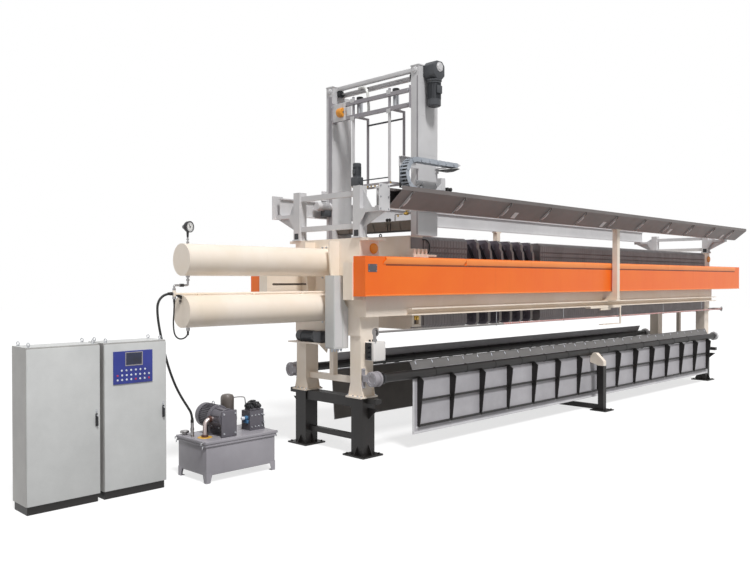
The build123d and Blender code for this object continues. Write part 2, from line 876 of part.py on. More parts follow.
def tower_gearmotor():
    """Lift gearbox on the near leg, with its motor hanging below."""
    x = leg_middle_x
    y = (-leg_outer_y - gearmotor_width, -leg_outer_y)
    half = gearmotor_width / 2
    top = leg_top_z + gearmotor_rise
    gearbox = block((x - half, x + half), y, (top - gearmotor_height, top))
    motor_top = top - gearmotor_height
    motor = rod_along_z(x, (y[0] + y[1]) / 2, (motor_top - motor_length, motor_top + 1), motor_radius)
    return fuse([gearbox, motor])


def drag_chain():
    """Cable carrier loop that lies in the trough, with its bracket on the near leg."""
    y = (-chain_outer_y, -chain_outer_y + chain_width)
    past_y = (y[0] - 1, y[1] + 1)
    low = trough_floor_z + seat_gap
    high = low + 2 * chain_radius
    x = chain_start_x + chain_radius
    ring = rod_along_y(x, y, low + chain_radius, chain_radius)
    ring -= rod_along_y(x, past_y, low + chain_radius, chain_radius - chain_depth)
    ring -= block((x, x + chain_radius + 1), past_y, (low - 1, high + 1))
    lower = block((x, x + chain_run), y, (low, low + chain_depth))
    upper = block((x, x + chain_run), y, (high - chain_depth, high))
    bracket = block((leg_end_x - chain_bracket_grip, x + chain_run - chain_bracket_grip),
                    (y[1], -leg_outer_y), (high - chain_depth, high))
    return fuse([ring, lower, upper]), bracket


def travel_motor():
    """Travel gearmotor that stands on the near gantry post."""
    half = travel_gearbox / 2
    y = -gantry_post_y + travel_motor_inset
    z = gantry_top_z + travel_gearbox
    gearbox = block((gantry_x - half, gantry_x + half), (y - half, y + half), (gantry_top_z, z))
    motor = rod_along_z(gantry_x, y, (z - 1, z + travel_motor_length), travel_motor_radius)
    return fuse([gearbox, motor])


# Drip doors, made for the near side
def door_pipe():
    """Pipe that the near door turns with."""
    return rod_along_x((door_pipe_start_x + seat_gap, door_pipe_end_x - seat_gap), 0, 0, door_pipe_radius)


def door_frame():
    """Ribs and rails of the near door, hanging open below its pipe."""
    pieces = []
    start = leaf_start_x + leaf_margin
    pitch = (leaf_end_x - leaf_margin - start) / leaf_bays
    face = -leaf_sheet / 2
    top = -door_pipe_radius / 2
    bottom = -leaf_tip + leaf_margin
    for index in range(leaf_bays + 1):
        x = start + index * pitch
        outline = [(face, top), (face, bottom), (face - rib_bottom_depth, bottom),
                   (face - rib_top_depth, top - rib_top_depth / 2), (face - rib_bottom_depth, top)]
        rib = plane_yz_prism(outline, (x - rib_thickness / 2, x + rib_thickness / 2))
        pieces.append(rib)
    ends = (start - rib_thickness / 2, start + leaf_bays * pitch + rib_thickness / 2)
    for z in (bottom, (top + bottom) / 2):
        pieces.append(block(ends, (face - door_rail_depth, face), (z, z + door_rail_height)))
    frame = fuse(pieces)
    return frame - rod_along_x((ends[0] - 1, ends[1] + 1), 0, 0, door_pipe_radius + seat_gap)


def door_panels():
    """Leaf below the pipe and the flap above it."""
    half = leaf_sheet / 2
    leaf = block((leaf_start_x, leaf_end_x), (-half, half), (-leaf_tip, -door_pipe_radius - leaf_top_gap))
    angle = math.radians(flap_angle)
    step = (math.sin(angle) * flap_length, math.cos(angle) * flap_length)
    base = door_pipe_radius + seat_gap
    flap = plane_yz_prism([(0, base), (leaf_sheet, base), (leaf_sheet + step[0], base + step[1]),
                           (step[0], base + step[1])], (leaf_start_x, leaf_end_x))
    return leaf, flap


def door_drive():
    """Drive housing at the cylinder end, bolted to the column."""
    x = (door_pipe_start_x - drive_length, door_pipe_start_x)
    arm_half = drive_arm_height / 2
    arm = block(x, (-hinge_y, -frame_half_width), (hinge_z - arm_half, hinge_z + arm_half))
    housing = rod_along_x(x, -hinge_y, hinge_z, drive_radius)
    plate = block((x[0], x[0] + drive_plate_length),
                  (-frame_half_width - drive_plate_thickness, -frame_half_width),
                  (hinge_z - drive_plate_height / 2, hinge_z + drive_plate_height / 2))
    return fuse([arm, housing, plate])


def door_bearing():
    """Bearing housing at the feed end, bolted to the column."""
    x = (door_pipe_end_x, door_pipe_end_x + bearing_length)
    half = drive_arm_height / 2
    arm = block(x, (-hinge_y, -frame_half_width), (hinge_z - half, hinge_z + half))
    return fuse([arm, rod_along_x(x, -hinge_y, hinge_z, bearing_radius)])


# Pull cord
def pull_cord():
    return rod_along_x((cord_start_x, cord_end_x), -cord_y, cord_z, cord_radius)


def cord_eye(x):
    return rod_along_x(x, -cord_y, cord_z, cord_eye_radius)


def cord_bracket_left():
    """Eye plate on the terminal box."""
    x = (cord_start_x - cord_plate, cord_start_x)
    arm = block(x, (-cord_y - cord_arm / 2, -cord_y + cord_arm / 2),
                (terminal_box_z + terminal_box_height, cord_z))
    return fuse([cord_eye(x), arm])


def cord_bracket_right():
    """Arm from the side of the feed head out to the cord's end."""
    x = (cord_end_x, cord_end_x + cord_plate)
    z = (cord_z - cord_arm / 2, cord_z + cord_arm / 2)
    along = block((rear_pack_end_x + feed_head_thickness - cord_grip, x[1]),
                  (-frame_half_width - cord_plate, -frame_half_width), z)
    across = block(x, (-cord_y, -frame_half_width), z)
    return fuse([cord_eye(x), along, across])


# Boxes and shelf motor
def tall_box():
    """Narrow box on the frame rib, with a wider lower part."""
    rib_y = -frame_rib_y - frame_rib_thickness
    y = (rib_y - tall_box_width, rib_y)
    narrow = block((tall_box_x, tall_box_x + tall_box_length), y, (tall_box_step_z, tall_box_top_z))
    wide = block((tall_box_x, frame_back_x), y, (tall_box_bottom_z, tall_box_step_z))
    return fuse([narrow, wide])


def terminal_box():
    x = -column_length / 2 + terminal_box_inset
    return block((x, x + terminal_box_length), (-frame_half_width - terminal_box_depth, -frame_half_width),
                 (terminal_box_z, terminal_box_z + terminal_box_height))


def shelf():
    x = -column_length / 2
    return block((x - shelf_length, x), (shelf_y, shelf_y + shelf_width),
                 (shelf_top_z - shelf_thickness, shelf_top_z))


def shelf_motor():
    x = -column_length / 2 - shelf_length / 2
    half = shelf_gearbox / 2
    start = shelf_y + shelf_motor_margin
    gearbox = block((x - half, x + half), (start, start + shelf_gearbox),
                    (shelf_top_z, shelf_top_z + shelf_gearbox))
    motor = rod_along_y(x, (start + shelf_gearbox - 1, start + shelf_gearbox + shelf_motor_length),
                        shelf_top_z + shelf_motor_radius, shelf_motor_radius)
    return fuse([gearbox, motor])


# Hydraulic unit
def unit_tank():
    x = (tank_x, tank_x + tank_length)
    y = (tank_y, tank_y + tank_width)
    body = block(x, y, (tank_leg_height, tank_top_z))
    pieces = [body]
    for leg_x in (x[0], x[1] - tank_leg):
        for leg_y in (y[0], y[1] - tank_leg):
            pieces.append(block((leg_x, leg_x + tank_leg), (leg_y, leg_y + tank_leg),
                                (0, tank_leg_height + 1)))
    over = tank_lid_overhang
    pieces.append(block((x[0] - over, x[1] + over), (y[0] - over, y[1] + over),
                        (tank_top_z, lid_z)))
    return fuse(pieces)


def unit_motor():
    """Pump motor across the lid, with the pump's bell housing and its front plate."""
    x = unit_axis_x
    y = unit_motor_y
    back = y + unit_motor_length
    foot = block((x - unit_foot_half, x + unit_foot_half), (y + unit_foot_setback, back - unit_foot_setback),
                 (lid_z, unit_axis_z))
    motor = rod_along_y(x, (y, back), unit_axis_z, unit_motor_radius)
    bell = rod_along_y(x, (y - unit_bell_length, y + 1), unit_axis_z, unit_bell_radius)
    plate_y = y - unit_bell_length
    plate = block((x - unit_plate_width / 2, x + unit_plate_width / 2),
                  (plate_y - unit_plate_thickness, plate_y + 1), (lid_z, unit_axis_z + unit_plate_rise))
    return fuse([foot, motor, bell, plate])


def unit_valves():
    """Manifold block with the valve stack on it."""
    x = tank_x + tank_length - manifold_length - manifold_inset
    y = tank_y + manifold_setback
    top = lid_z + manifold_height
    manifold = block((x, x + manifold_length), (y, y + manifold_width), (lid_z, top))
    inset = valve_stack_inset
    stack = block((x + inset, x + manifold_length - inset), (y + inset, y + manifold_width - inset),
                  (top - 1, top + valve_stack_height))
    return fuse([manifold, stack])


def return_filter():
    return rod_along_z(tank_x + filter_inset, tank_back_y - filter_setback,
                       (lid_z, lid_z + filter_height), filter_radius)


def breather():
    return rod_along_z(tank_x + breather_inset, tank_back_y - breather_inset,
                       (lid_z, lid_z + breather_height), breather_radius)


def suction_elbow():
    """Pipe from the lid up and over to the bell housing."""
    x = unit_axis_x - unit_bell_radius - elbow_reach
    y = unit_motor_y - elbow_setback
    points = [(x, y, lid_z), (x, y, unit_axis_z), (unit_axis_x, y, unit_axis_z)]
    pipe = tube(points, [elbow_bend], elbow_radius)[0]
    return pipe - rod_along_y(unit_axis_x, (y - elbow_bend, y + elbow_bend), unit_axis_z, unit_bell_radius)


def hose_port():
    """Port on the lid that the pressure hose goes into."""
    end = hose_route[-1]
    return rod_along_z(end[0], end[1], (lid_z, end[2]), hose_ferrule_radius)


# Hoses: control points of each route, first at the fitting it leaves
hose_route = [
    (-2840, 0, 2470), (-2920, 0, 2470), (-3003, 4, 2423), (-3048, 8, 2341), (-3052, 6, 2235),
    (-3040, 0, 2100), (-3016, -5, 1960), (-2978, -3, 1800), (-2928, 3, 1620), (-2868, 7, 1440),
    (-2795, 5, 1260), (-2708, -2, 1095), (-2612, 0, 955), (-2545, 0, 850), (-2545, 0, 740),
]
short_hose_route = [
    (-2810, 0, 2400), (-2810, 0, 2310), (-2816, -3, 2210), (-2824, 0, 2110), (-2818, 3, 2010),
    (-2806, 0, 1937), (-2773, 0, 1890), (-2724, -2, 1868), (-2670, 0, 1873), (-2626, 0, 1900),
    (-2605, 0, 1940), (-2605, 0, 1975),
]


def bend_radii(points):
    """Largest arc at each corner that its two runs allow."""
    radii = []
    for index in range(1, len(points) - 1):
        before = Vector(*points[index]) - Vector(*points[index - 1])
        after = Vector(*points[index + 1]) - Vector(*points[index])
        turn = math.radians(before.get_angle(after))
        radii.append(0.45 * min(before.length, after.length) / math.tan(turn / 2))
    return radii


def tube(points, radii, radius):
    """Round solid along a route with rounded corners, and the route's length."""
    path = FilletPolyline(*points, radius=radii)
    section = Plane(origin=path @ 0, z_dir=path % 0) * Circle(radius)
    return sweep(section, path=path), path.length


def hose(points, radius):
    radii = bend_radii(points)
    body, length = tube(points, radii, radius)
    print("hose radii", [round(value) for value in radii])
    print("hose volume", round(body.volume), "section times length", round(math.pi * radius ** 2 * length))
    return body


def cylinder_pipes():
    """Ports, the rigid pipe from the upper cylinder and the tee."""
    upper_port_z = cylinder_upper_z - cylinder_radius
    lower_port_z = cylinder_lower_z - cylinder_radius
    drop_z = tee_z + pipe_rise
    upper = rod_along_z(port_x, 0, (upper_port_z - port_height, upper_port_z + port_height), port_radius)
    upper -= rod_along_x((cylinder_rear_x, frame_back_x), 0, cylinder_upper_z, cylinder_radius)
    lower = rod_along_z(port_x, 0, (lower_port_z - port_height, lower_port_z + port_height), port_radius)
    lower -= rod_along_x((cylinder_rear_x, frame_back_x), 0, cylinder_lower_z, cylinder_radius)
    down = rod_along_z(port_x, 0, (drop_z - pipe_radius, upper_port_z - port_height), pipe_radius)
    across = rod_along_x((tee_x - pipe_radius, port_x + pipe_radius), 0, drop_z, pipe_radius)
    fall = rod_along_z(tee_x, 0, (tee_z, drop_z), pipe_radius)
    tee = rod_along_z(tee_x, 0, (tee_z - tee_length, tee_z + tee_length), tee_radius)
    branch = rod_along_x((tee_x - tee_branch, tee_x), 0, tee_z, tee_branch_radius)
    return fuse([upper, down, across, fall, tee, branch]), lower


def pressure_gauge():
    top = cylinder_upper_z + cylinder_radius
    stem = rod_along_z(port_x, 0, (top - gauge_depth, gauge_z), gauge_stem_radius)
    stem -= rod_along_x((cylinder_rear_x, frame_back_x), 0, cylinder_upper_z, cylinder_radius)
    body = rod_along_y(port_x, (-gauge_depth / 2, gauge_depth / 2), gauge_z, gauge_radius)
    return fuse([stem, body])


# Control cabinets
def cabinet_shell(x0, width):
    x = (x0, x0 + width)
    y = (cabinet_front_y, cabinet_back_y)
    z = (cabinet_plinth, cabinet_height)
    sheet = cabinet_sheet
    outside = block(x, y, z)
    inside = block((x[0] + sheet, x[1] - sheet), (y[0] - 1, y[1] - sheet), (z[0] + sheet, z[1] - sheet))
    return outside - inside


def cabinet_plinths():
    pieces = []
    inset = cabinet_plinth_inset
    for x0, width in ((cabinet_left_x, cabinet_left_width), (cabinet_right_x, cabinet_right_width)):
        pieces.append(block((x0 + inset, x0 + width - inset),
                            (cabinet_front_y + inset, cabinet_back_y - inset), (0, cabinet_plinth)))
    return pieces


def cabinet_door(x0, width):
    gap = cabinet_door_gap
    x = (x0 + gap, x0 + width - gap)
    y = (cabinet_front_y - seat_gap - cabinet_door_thickness, cabinet_front_y - seat_gap)
    z = (cabinet_plinth + gap, cabinet_height - cabinet_door_margin)
    door = block(x, y, z)
    middle = (z[0] + z[1]) / 2
    handle_x = x[1] - cabinet_handle_inset
    handle = block((handle_x, handle_x + cabinet_handle_width), (y[0] - cabinet_handle_depth, y[0]),
                   (middle - cabinet_handle_height / 2, middle + cabinet_handle_height / 2))
    return fuse([door, handle])


def operator_panel():
    middle = cabinet_right_x + panel_inset + panel_width / 2
    y = cabinet_front_y - seat_gap - cabinet_door_thickness
    top = cabinet_height - cabinet_door_margin - panel_top_drop
    return block((middle - panel_width / 2, middle + panel_width / 2), (y - panel_depth, y),
                 (top - panel_height, top))


def on_near_hinge(piece):
    return Pos(0, -hinge_y, hinge_z) * piece


def on_far_hinge(piece):
    return mirror(on_near_hinge(Rot(far_leaf_lean, 0, 0) * piece), Plane.XZ)


def lone_plate(index):
    x = front_pack_end_x + plate_gap + index * plate_pitch
    return plate_pack((x, x + plate_thickness))


def all_nodes():
    """Every node's solids by name, laid out along the machine."""
    leaf, flap = door_panels()
    chain, chain_bracket = drag_chain()
    pipes, lower_port = cylinder_pipes()
    left = (cabinet_left_x, cabinet_left_width)
    right = (cabinet_right_x, cabinet_right_width)
    nodes = {
        "end_stands": [end_stand(0), end_stand(feed_stand_x)],
        "middle_stand": [middle_stand()],
        "pipe_saddles": both_sides(pipe_saddle()),
        "press_columns": [frame_columns(0), frame_columns(feed_stand_x)],
        "thrust_frame": [thrust_frame()],
        "hydraulic_cylinders": [hydraulic_cylinder(cylinder_upper_z), hydraulic_cylinder(cylinder_lower_z)],
        "piston_rods": [piston_rod(cylinder_upper_z), piston_rod(cylinder_lower_z)],
        "side_beams": both_sides(side_beam()),
        "beam_covers": [mirror(beam_cover(near_cover_start_x), Plane.XZ), beam_cover(far_cover_start_x)],
        "moving_head": [moving_head()],
        "feed_head": [feed_head()],
        "front_plate_pack": [plate_pack((front_pack_x, front_pack_end_x))],
        "rear_plate_pack": [plate_pack((rear_pack_x, rear_pack_end_x))],
        "cylinder_end_gantry": [gantry(gantry_x, frame_top_z, gantry_top_z, bracket_end_y)],
        "feed_end_gantry": [gantry(feed_gantry_x, plate_top_z, feed_gantry_top_z, trough_keel_y)],
        "tower_rails": both_sides(rail()),
        "cable_trough": [cable_trough()],
        "rail_columns": [rail_column(near_column_x), mirror(rail_column(far_column_x), Plane.XZ)],
        "travel_motor": [travel_motor()],
        "door_drives": both_sides(door_drive()),
        "door_bearings": both_sides(door_bearing()),
        "pull_cord": [pull_cord()],
        "cord_brackets": [cord_bracket_left(), cord_bracket_right()],
        "tall_box": [tall_box()],
        "terminal_box": [terminal_box()],
        "motor_shelf": [shelf()],
        "shelf_motor": [shelf_motor()],
        "unit_tank": [unit_tank()],
        "unit_motor": [unit_motor()],
        "unit_valves": [unit_valves()],
        "unit_ports": [return_filter(), breather(), suction_elbow(), hose_port()],
        "cylinder_pipes": [pipes, lower_port],
        "pressure_hose": [hose(hose_route, hose_radius)],
        "short_hose": [hose(short_hose_route, short_hose_radius)],
        "pressure_gauge": [pressure_gauge()],
        "control_cabinets": [cabinet_shell(*left), cabinet_shell(*right)],
        "cabinet_plinths": cabinet_plinths(),
        "left_cabinet_door": [cabinet_door(*left)],
        "right_cabinet_door": [cabinet_door(*right)],
        "operator_panel": [operator_panel()],
        "tower_legs": both_sides(tower_leg()),
        "tower_bars": tower_top(),
        "drip_tray": [drip_tray()],
        "tower_gearmotor": [tower_gearmotor()],
        "drag_chain": [chain, chain_bracket],
        "spray_carriage": [spray_carriage()],
        "near_door_pipe": [on_near_hinge(door_pipe())],
        "near_door_frame": [on_near_hinge(door_frame())],
        "near_door_panels": [on_near_hinge(leaf), on_near_hinge(flap)],
        "far_door_pipe": [on_far_hinge(door_pipe())],
        "far_door_frame": [on_far_hinge(door_frame())],
        "far_door_panels": [on_far_hinge(leaf), on_far_hinge(flap)],
    }
    for index in range(parted_plates):
        nodes[f"filter_plate_{index + 1}"] = [lone_plate(index)]
    return nodes


def footprint_middle(nodes):
    """Middle of the part's box in X and Y, without the free hoses."""
    boxes = [solid.bounding_box() for name, solids in nodes.items() for solid in solids
             if name not in ("pressure_hose", "short_hose")]
    low_x = min(box.min.X for box in boxes)
    high_x = max(box.max.X for box in boxes)
    low_y = min(box.min.Y for box in boxes)
    high_y = max(box.max.Y for box in boxes)
    return (low_x + high_x) / 2, (low_y + high_y) / 2


def write_parts():
    nodes = all_nodes()
    middle_x, middle_y = footprint_middle(nodes)
    print("footprint middle", round(middle_x, 3), round(middle_y, 3))
    print("closing stroke", closing_stroke)
    os.makedirs("parts", exist_ok=True)
    for name, solids in nodes.items():
        moved = [Pos(-middle_x, -middle_y, 0) * solid for solid in solids]
        shape = moved[0] if len(moved) == 1 else Compound(children=moved)
        export_step(shape, f"parts/{name}.step")


write_parts()
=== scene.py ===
from math import cos, pi, radians, sin, tau

import bmesh
import bpy
from mathutils import Matrix, Vector


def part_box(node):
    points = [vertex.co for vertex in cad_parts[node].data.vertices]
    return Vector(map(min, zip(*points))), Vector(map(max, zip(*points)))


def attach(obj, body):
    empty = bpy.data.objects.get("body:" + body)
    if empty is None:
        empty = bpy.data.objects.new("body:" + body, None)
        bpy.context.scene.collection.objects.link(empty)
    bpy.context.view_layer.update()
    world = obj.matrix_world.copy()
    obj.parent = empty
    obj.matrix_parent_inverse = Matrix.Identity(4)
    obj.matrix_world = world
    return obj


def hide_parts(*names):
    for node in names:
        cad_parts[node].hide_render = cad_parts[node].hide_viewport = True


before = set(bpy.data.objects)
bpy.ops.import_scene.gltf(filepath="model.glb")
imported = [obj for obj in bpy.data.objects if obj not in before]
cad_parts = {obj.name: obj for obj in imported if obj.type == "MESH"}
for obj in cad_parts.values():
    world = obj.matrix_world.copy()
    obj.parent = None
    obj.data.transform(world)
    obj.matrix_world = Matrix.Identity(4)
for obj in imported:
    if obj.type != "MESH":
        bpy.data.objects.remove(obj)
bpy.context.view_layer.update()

print("frame loaded:", len(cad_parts), "nodes")

# Places below are metres along the press: X 0 at the cylinder end stand, Y 0 in the middle
standLow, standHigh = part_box("end_stands")
standFootHalf = 0.21
datum = Vector((standLow.x + standFootHalf, (standLow.y + standHigh.y) / 2, 0))

# Directions: up, down, to the near and far side, to the feed end and the cylinder end
toUp, toDown, toNear, toFar, toFeed, toRear = (0, 0, 1), (0, 0, -1), (0, -1, 0), (0, 1, 0), (1, 0, 0), (-1, 0,
    0)


# A node's corners in the press's own metres
def localBox(node):
    low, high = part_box(node)
    return low - datum, high - datum


# Shapes: each adds to a bmesh and gives back the vertices it made; a box takes two corners and its bevel
def addBox(bm, low, high, bevel=0, steps=1):
    low, high = (Vector([pick(pair) for pair in zip(low, high)]) for pick in (min, max))
    matrix = Matrix.Translation((low + high) / 2) @ Matrix.Diagonal((*(high - low), 1))
    verts = bmesh.ops.create_cube(bm, size=1, matrix=matrix)["verts"]
    if bevel > 0:
        edges = {edge for vert in verts for edge in vert.link_edges}
        made = bmesh.ops.bevel(bm, geom=list(edges), offset=bevel, offset_type="OFFSET", affect="EDGES",
            segments=steps, profile=0.5, material=-1)
        verts = list({vert for face in made["faces"] for vert in face.verts} | {v for v in verts
            if v.is_valid})
    return verts


def turnTo(direction):
    return Vector(direction).to_track_quat("Z", "Y").to_matrix().to_4x4()


def turnAbout(bm, verts, centre, turn, axis):
    bmesh.ops.transform(bm, matrix=Matrix.Translation(centre) @ Matrix.Rotation(turn, 4, axis), verts=verts)


# A rod from one point along a span; its end may be thinner
def addRod(bm, start, span, radius, endRadius=None, sides=24):
    start, span = Vector(start), Vector(span)
    matrix = Matrix.Translation(start + span / 2) @ turnTo(span)
    return bmesh.ops.create_cone(bm, cap_ends=True, cap_tris=False, segments=sides, radius1=radius,
        radius2=radius if endRadius is None else endRadius, depth=span.length, matrix=matrix)["verts"]


# A turned shape: profile points are (radius, distance along the axis)
def addLathe(bm, profile, start, direction, steps=32):
    verts = [bm.verts.new((radius, 0, along)) for radius, along in profile]
    edges = [bm.edges.new(pair) for pair in zip(verts, verts[1:])]
    bmesh.ops.spin(bm, geom=verts + edges, cent=(0, 0, 0), axis=(0, 0, 1), dvec=(0, 0, 0), angle=tau,
        steps=steps, use_merge=True, use_duplicate=False)
    linked = {vert for vert in verts if vert.is_valid}
    frontier = list(linked)
    while frontier:
        vert = frontier.pop()
        for edge in vert.link_edges:
            other = edge.other_vert(vert)
            if other not in linked:
                linked.add(other)
                frontier.append(other)
    made = list(linked)
    bmesh.ops.remove_doubles(bm, verts=made, dist=1e-6)
    made = [vert for vert in made if vert.is_valid]
    bmesh.ops.transform(bm, matrix=Matrix.Translation(start) @ turnTo(direction), verts=made)
    return made


# A flat outline pushed along one vector
def addPrism(bm, outline, push):
    verts = [bm.verts.new(point) for point in outline]
    face = bm.faces.new(verts)
    made = bmesh.ops.extrude_face_region(bm, geom=[face])["geom"]
    moved = [item for item in made if isinstance(item, bmesh.types.BMVert)]
    bmesh.ops.translate(bm, verts=moved, vec=push)
    return verts + moved


def addRing(bm, centre, direction, radius, thickness, steps=20, sides=8):
    turned = Matrix.Translation(centre) @ turnTo(direction)
    circle = bmesh.ops.create_circle(bm, segments=sides, radius=thickness, cap_ends=False,
        matrix=Matrix.Translation((radius, 0, 0)) @ Matrix.Rotation(pi / 2, 4, "X"))
    verts = circle["verts"]
    edges = list({edge for vert in verts for edge in vert.link_edges})
    before = set(bm.verts)
    bmesh.ops.spin(bm, geom=verts + edges, cent=(0, 0, 0), axis=(0, 0, 1), dvec=(0, 0, 0), angle=tau,
        steps=steps, use_merge=True, use_duplicate=False)
    made = [vert for vert in verts if vert.is_valid] + [vert for vert in bm.verts if vert not in before]
    bmesh.ops.transform(bm, matrix=turned, verts=made)
    return made


def addBolt(bm, seat, direction, across, height=None, washer=True):
    seat, direction = Vector(seat), Vector(direction).normalized()
    height = across * 0.6 if height is None else height
    if washer:
        addRod(bm, seat, direction * across * 0.12, across * 0.62, sides=12)
    addRod(bm, seat, direction * height, across * 0.5, sides=6)


# Bolts on a circle round one of the main axes
def addBoltRing(bm, centre, direction, radius, count, across, first=0.5, washer=True):
    for index in range(count):
        turn = tau * (index + first) / count
        spot = [cos(turn), sin(turn)]
        spot.insert([abs(part) for part in direction].index(1), 0)
        addBolt(bm, Vector(centre) + Vector(spot) * radius, direction, across, washer=washer)


# Copies what the vertices belong to, each copy one step further
def repeat(bm, verts, step, count):
    geom = list({face for vert in verts for face in vert.link_faces})
    for index in range(1, count):
        copied = bmesh.ops.duplicate(bm, geom=geom)["geom"]
        moved = [item for item in copied if isinstance(item, bmesh.types.BMVert)]
        bmesh.ops.translate(bm, verts=moved, vec=Vector(step) * index)


# A row of one unit, which is used up
def rowOf(unit, step, count):
    mesh = bpy.data.meshes.new("unit")
    unit.to_mesh(mesh)
    unit.free()
    bm = bmesh.new()
    for _ in range(count):
        bm.from_mesh(mesh)
        mesh.transform(Matrix.Translation(step))
    bpy.data.meshes.remove(mesh)
    return bm


# Moves what is given to the other side of the middle plane
def mirror(bm, geom):
    bmesh.ops.scale(bm, vec=(1, -1, 1), verts=[item for item in geom if isinstance(item, bmesh.types.BMVert)])
    bmesh.ops.reverse_faces(bm, faces=[item for item in geom if isinstance(item, bmesh.types.BMFace)])


def bothSides(bm):
    mirror(bm, bmesh.ops.duplicate(bm, geom=bm.verts[:] + bm.edges[:] + bm.faces[:])["geom"])


# A smooth line with a round section
def makeCurve(name, points, radius, sides, resolution):
    curve = bpy.data.curves.new(name, "CURVE")
    curve.dimensions = "3D"
    curve.bevel_depth = radius
    curve.bevel_resolution = sides
    curve.resolution_u = resolution
    curve.use_fill_caps = True
    spline = curve.splines.new("NURBS")
    spline.points.add(len(points) - 1)
    for item, point in zip(spline.points, points):
        item.co = (*point, 1)
    spline.order_u = 3
    spline.use_endpoint_u = True
    return curve, bpy.data.objects.new(name, curve)


# A pipe along a smooth line
def addTube(bm, points, radius, resolution=6):
    curve, holder = makeCurve("route", points, radius, 3, resolution)
    mesh = bpy.data.meshes.new_from_object(holder)
    bm.from_mesh(mesh)
    bpy.data.objects.remove(holder)
    bpy.data.curves.remove(curve)
    bpy.data.meshes.remove(mesh)


# Makes the finished piece, which rides on its body, and empties the bmesh for the next one
def addPiece(name, bm, material, body="root", replaces=None, recalc=True):
    if recalc:
        bmesh.ops.recalc_face_normals(bm, faces=bm.faces[:])
    bmesh.ops.translate(bm, verts=bm.verts[:], vec=datum)
    mesh = bpy.data.meshes.new(name)
    bm.to_mesh(mesh)
    bm.clear()
    for item in [material] if isinstance(material, str) else material:
        mesh.materials.append(materials[item])
    mesh.shade_smooth()
    mesh.set_sharp_from_angle(angle=radians(32))
    piece = bpy.data.objects.new(name, mesh)
    bpy.context.scene.collection.objects.link(piece)
    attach(piece, body)
    if replaces:
        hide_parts(replaces)


# Materials: one function adds a node with its settings and links
def toLinear(hexColour):
    value = hexColour.lstrip("#")
    parts = [int(value[index:index + 2], 16) / 255 for index in (0, 2, 4)]
    return (*[part / 12.92 if part <= 0.04045 else ((part + 0.055) / 1.055) ** 2.4 for part in parts], 1)


def addNode(tree, kind, inputs=None, links=None, stops=(), **settings):
    node = tree.nodes.new("ShaderNode" + kind)
    for key, value in settings.items():
        setattr(node, key, value)
    for key, value in (inputs or {}).items():
        node.inputs[key].default_value = value
    for key, source in (links or {}).items():
        tree.links.new(source, node.inputs[key])
    for index, (position, colour) in enumerate(stops):
        node.color_ramp.elements[index].position = position
        node.color_ramp.elements[index].color = toLinear(colour)
    return node


materials = {}


# The empty tree of a new material or world
def emptyTree(owner):
    owner.use_nodes = True
    owner.node_tree.nodes.clear()
    return owner.node_tree


# A new material's tree, and the place on the object that patterns follow
def startMaterial(name):
    materials[name] = bpy.data.materials.new(name)
    tree = emptyTree(materials[name])
    return tree, addNode(tree, "TexCoord").outputs["Object"]


def finishMaterial(tree, inputs, links):
    shader = addNode(tree, "BsdfPrincipled", inputs, links)
    addNode(tree, "OutputMaterial", links={"Surface": shader.outputs["BSDF"]})


mm = 0.001

# Two-pack machine enamel sprayed on welded plate: soft sheen, orange peel, faint clouds and run-down dust.
# Real peel is about 3 mm; it is drawn at the size given so that it shows from the camera.
paintLook = {
    "creamEnamel": dict(high="#FAEEE1", low="#F2E3D0", dust="#D3C6B0", roughness=0.38, peelMm=26, peel=0.05),
    "orangeEnamel": dict(high="#FF7606", low="#FC6E02", dust="#D85A1E", roughness=0.34, peelMm=22, peel=0.04),
    # A paler copy of orangeEnamel for the covers' rolled strips: painted light where they face up
    "orangeTopEnamel": dict(high="#FF9646", low="#FB8B3A", dust="#E0763A", roughness=0.32, peelMm=22, peel=0.04),
    "greyEnamel": dict(high="#DAD9DA", low="#CECDCE", dust="#A8A5A3", roughness=0.42, peelMm=26, peel=0.05),
    "shadeGreyEnamel": dict(high="#A7A3A6", low="#98949A", dust="#7D797D", roughness=0.45, peelMm=26, peel=0.05),
    "blackEnamel": dict(high="#151110", low="#0F0C0B", dust="#2A2522", roughness=0.46, peelMm=20, peel=0.06),
    "motorEnamel": dict(high="#45474B", low="#37393D", dust="#5B5A58", roughness=0.46, peelMm=14, peel=0.12),
    # Darkened towards the shade of the trough's sloped underside: painted shade on its own grey
    "troughEnamel": dict(high="#77706E", low="#686260", dust="#665F5C", roughness=0.45, peelMm=26, peel=0.05),
    "trayEnamel": dict(high="#7C7971", low="#6C6962", dust="#55524C", roughness=0.45, peelMm=20, peel=0.06),
    "unitEnamel": dict(high="#67646B", low="#56545B", dust="#7A777A", roughness=0.42, peelMm=12, peel=0.12),
    "tankEnamel": dict(high="#A3A0A6", low="#959298", dust="#7E7A7D", roughness=0.4, peelMm=18, peel=0.06),
    "brownCapEnamel": dict(high="#6A625D", low="#59524E", dust="#4A4541", roughness=0.4, peelMm=12, peel=0.1),
    "yellowEnamel": dict(high="#E8B84A", low="#DDA93A", dust="#B98A30", roughness=0.45, peelMm=12, peel=0.05),
    # Brown for the line under the cover strips: painted shade
    "brownEnamel": dict(high="#8A4426", low="#7A3A1F", dust="#6A3018", roughness=0.5, peelMm=20, peel=0.04),
    "amberEnamel": dict(high="#F2A53A", low="#E8962C", dust="#B97624", roughness=0.42, peelMm=12, peel=0.05),
}


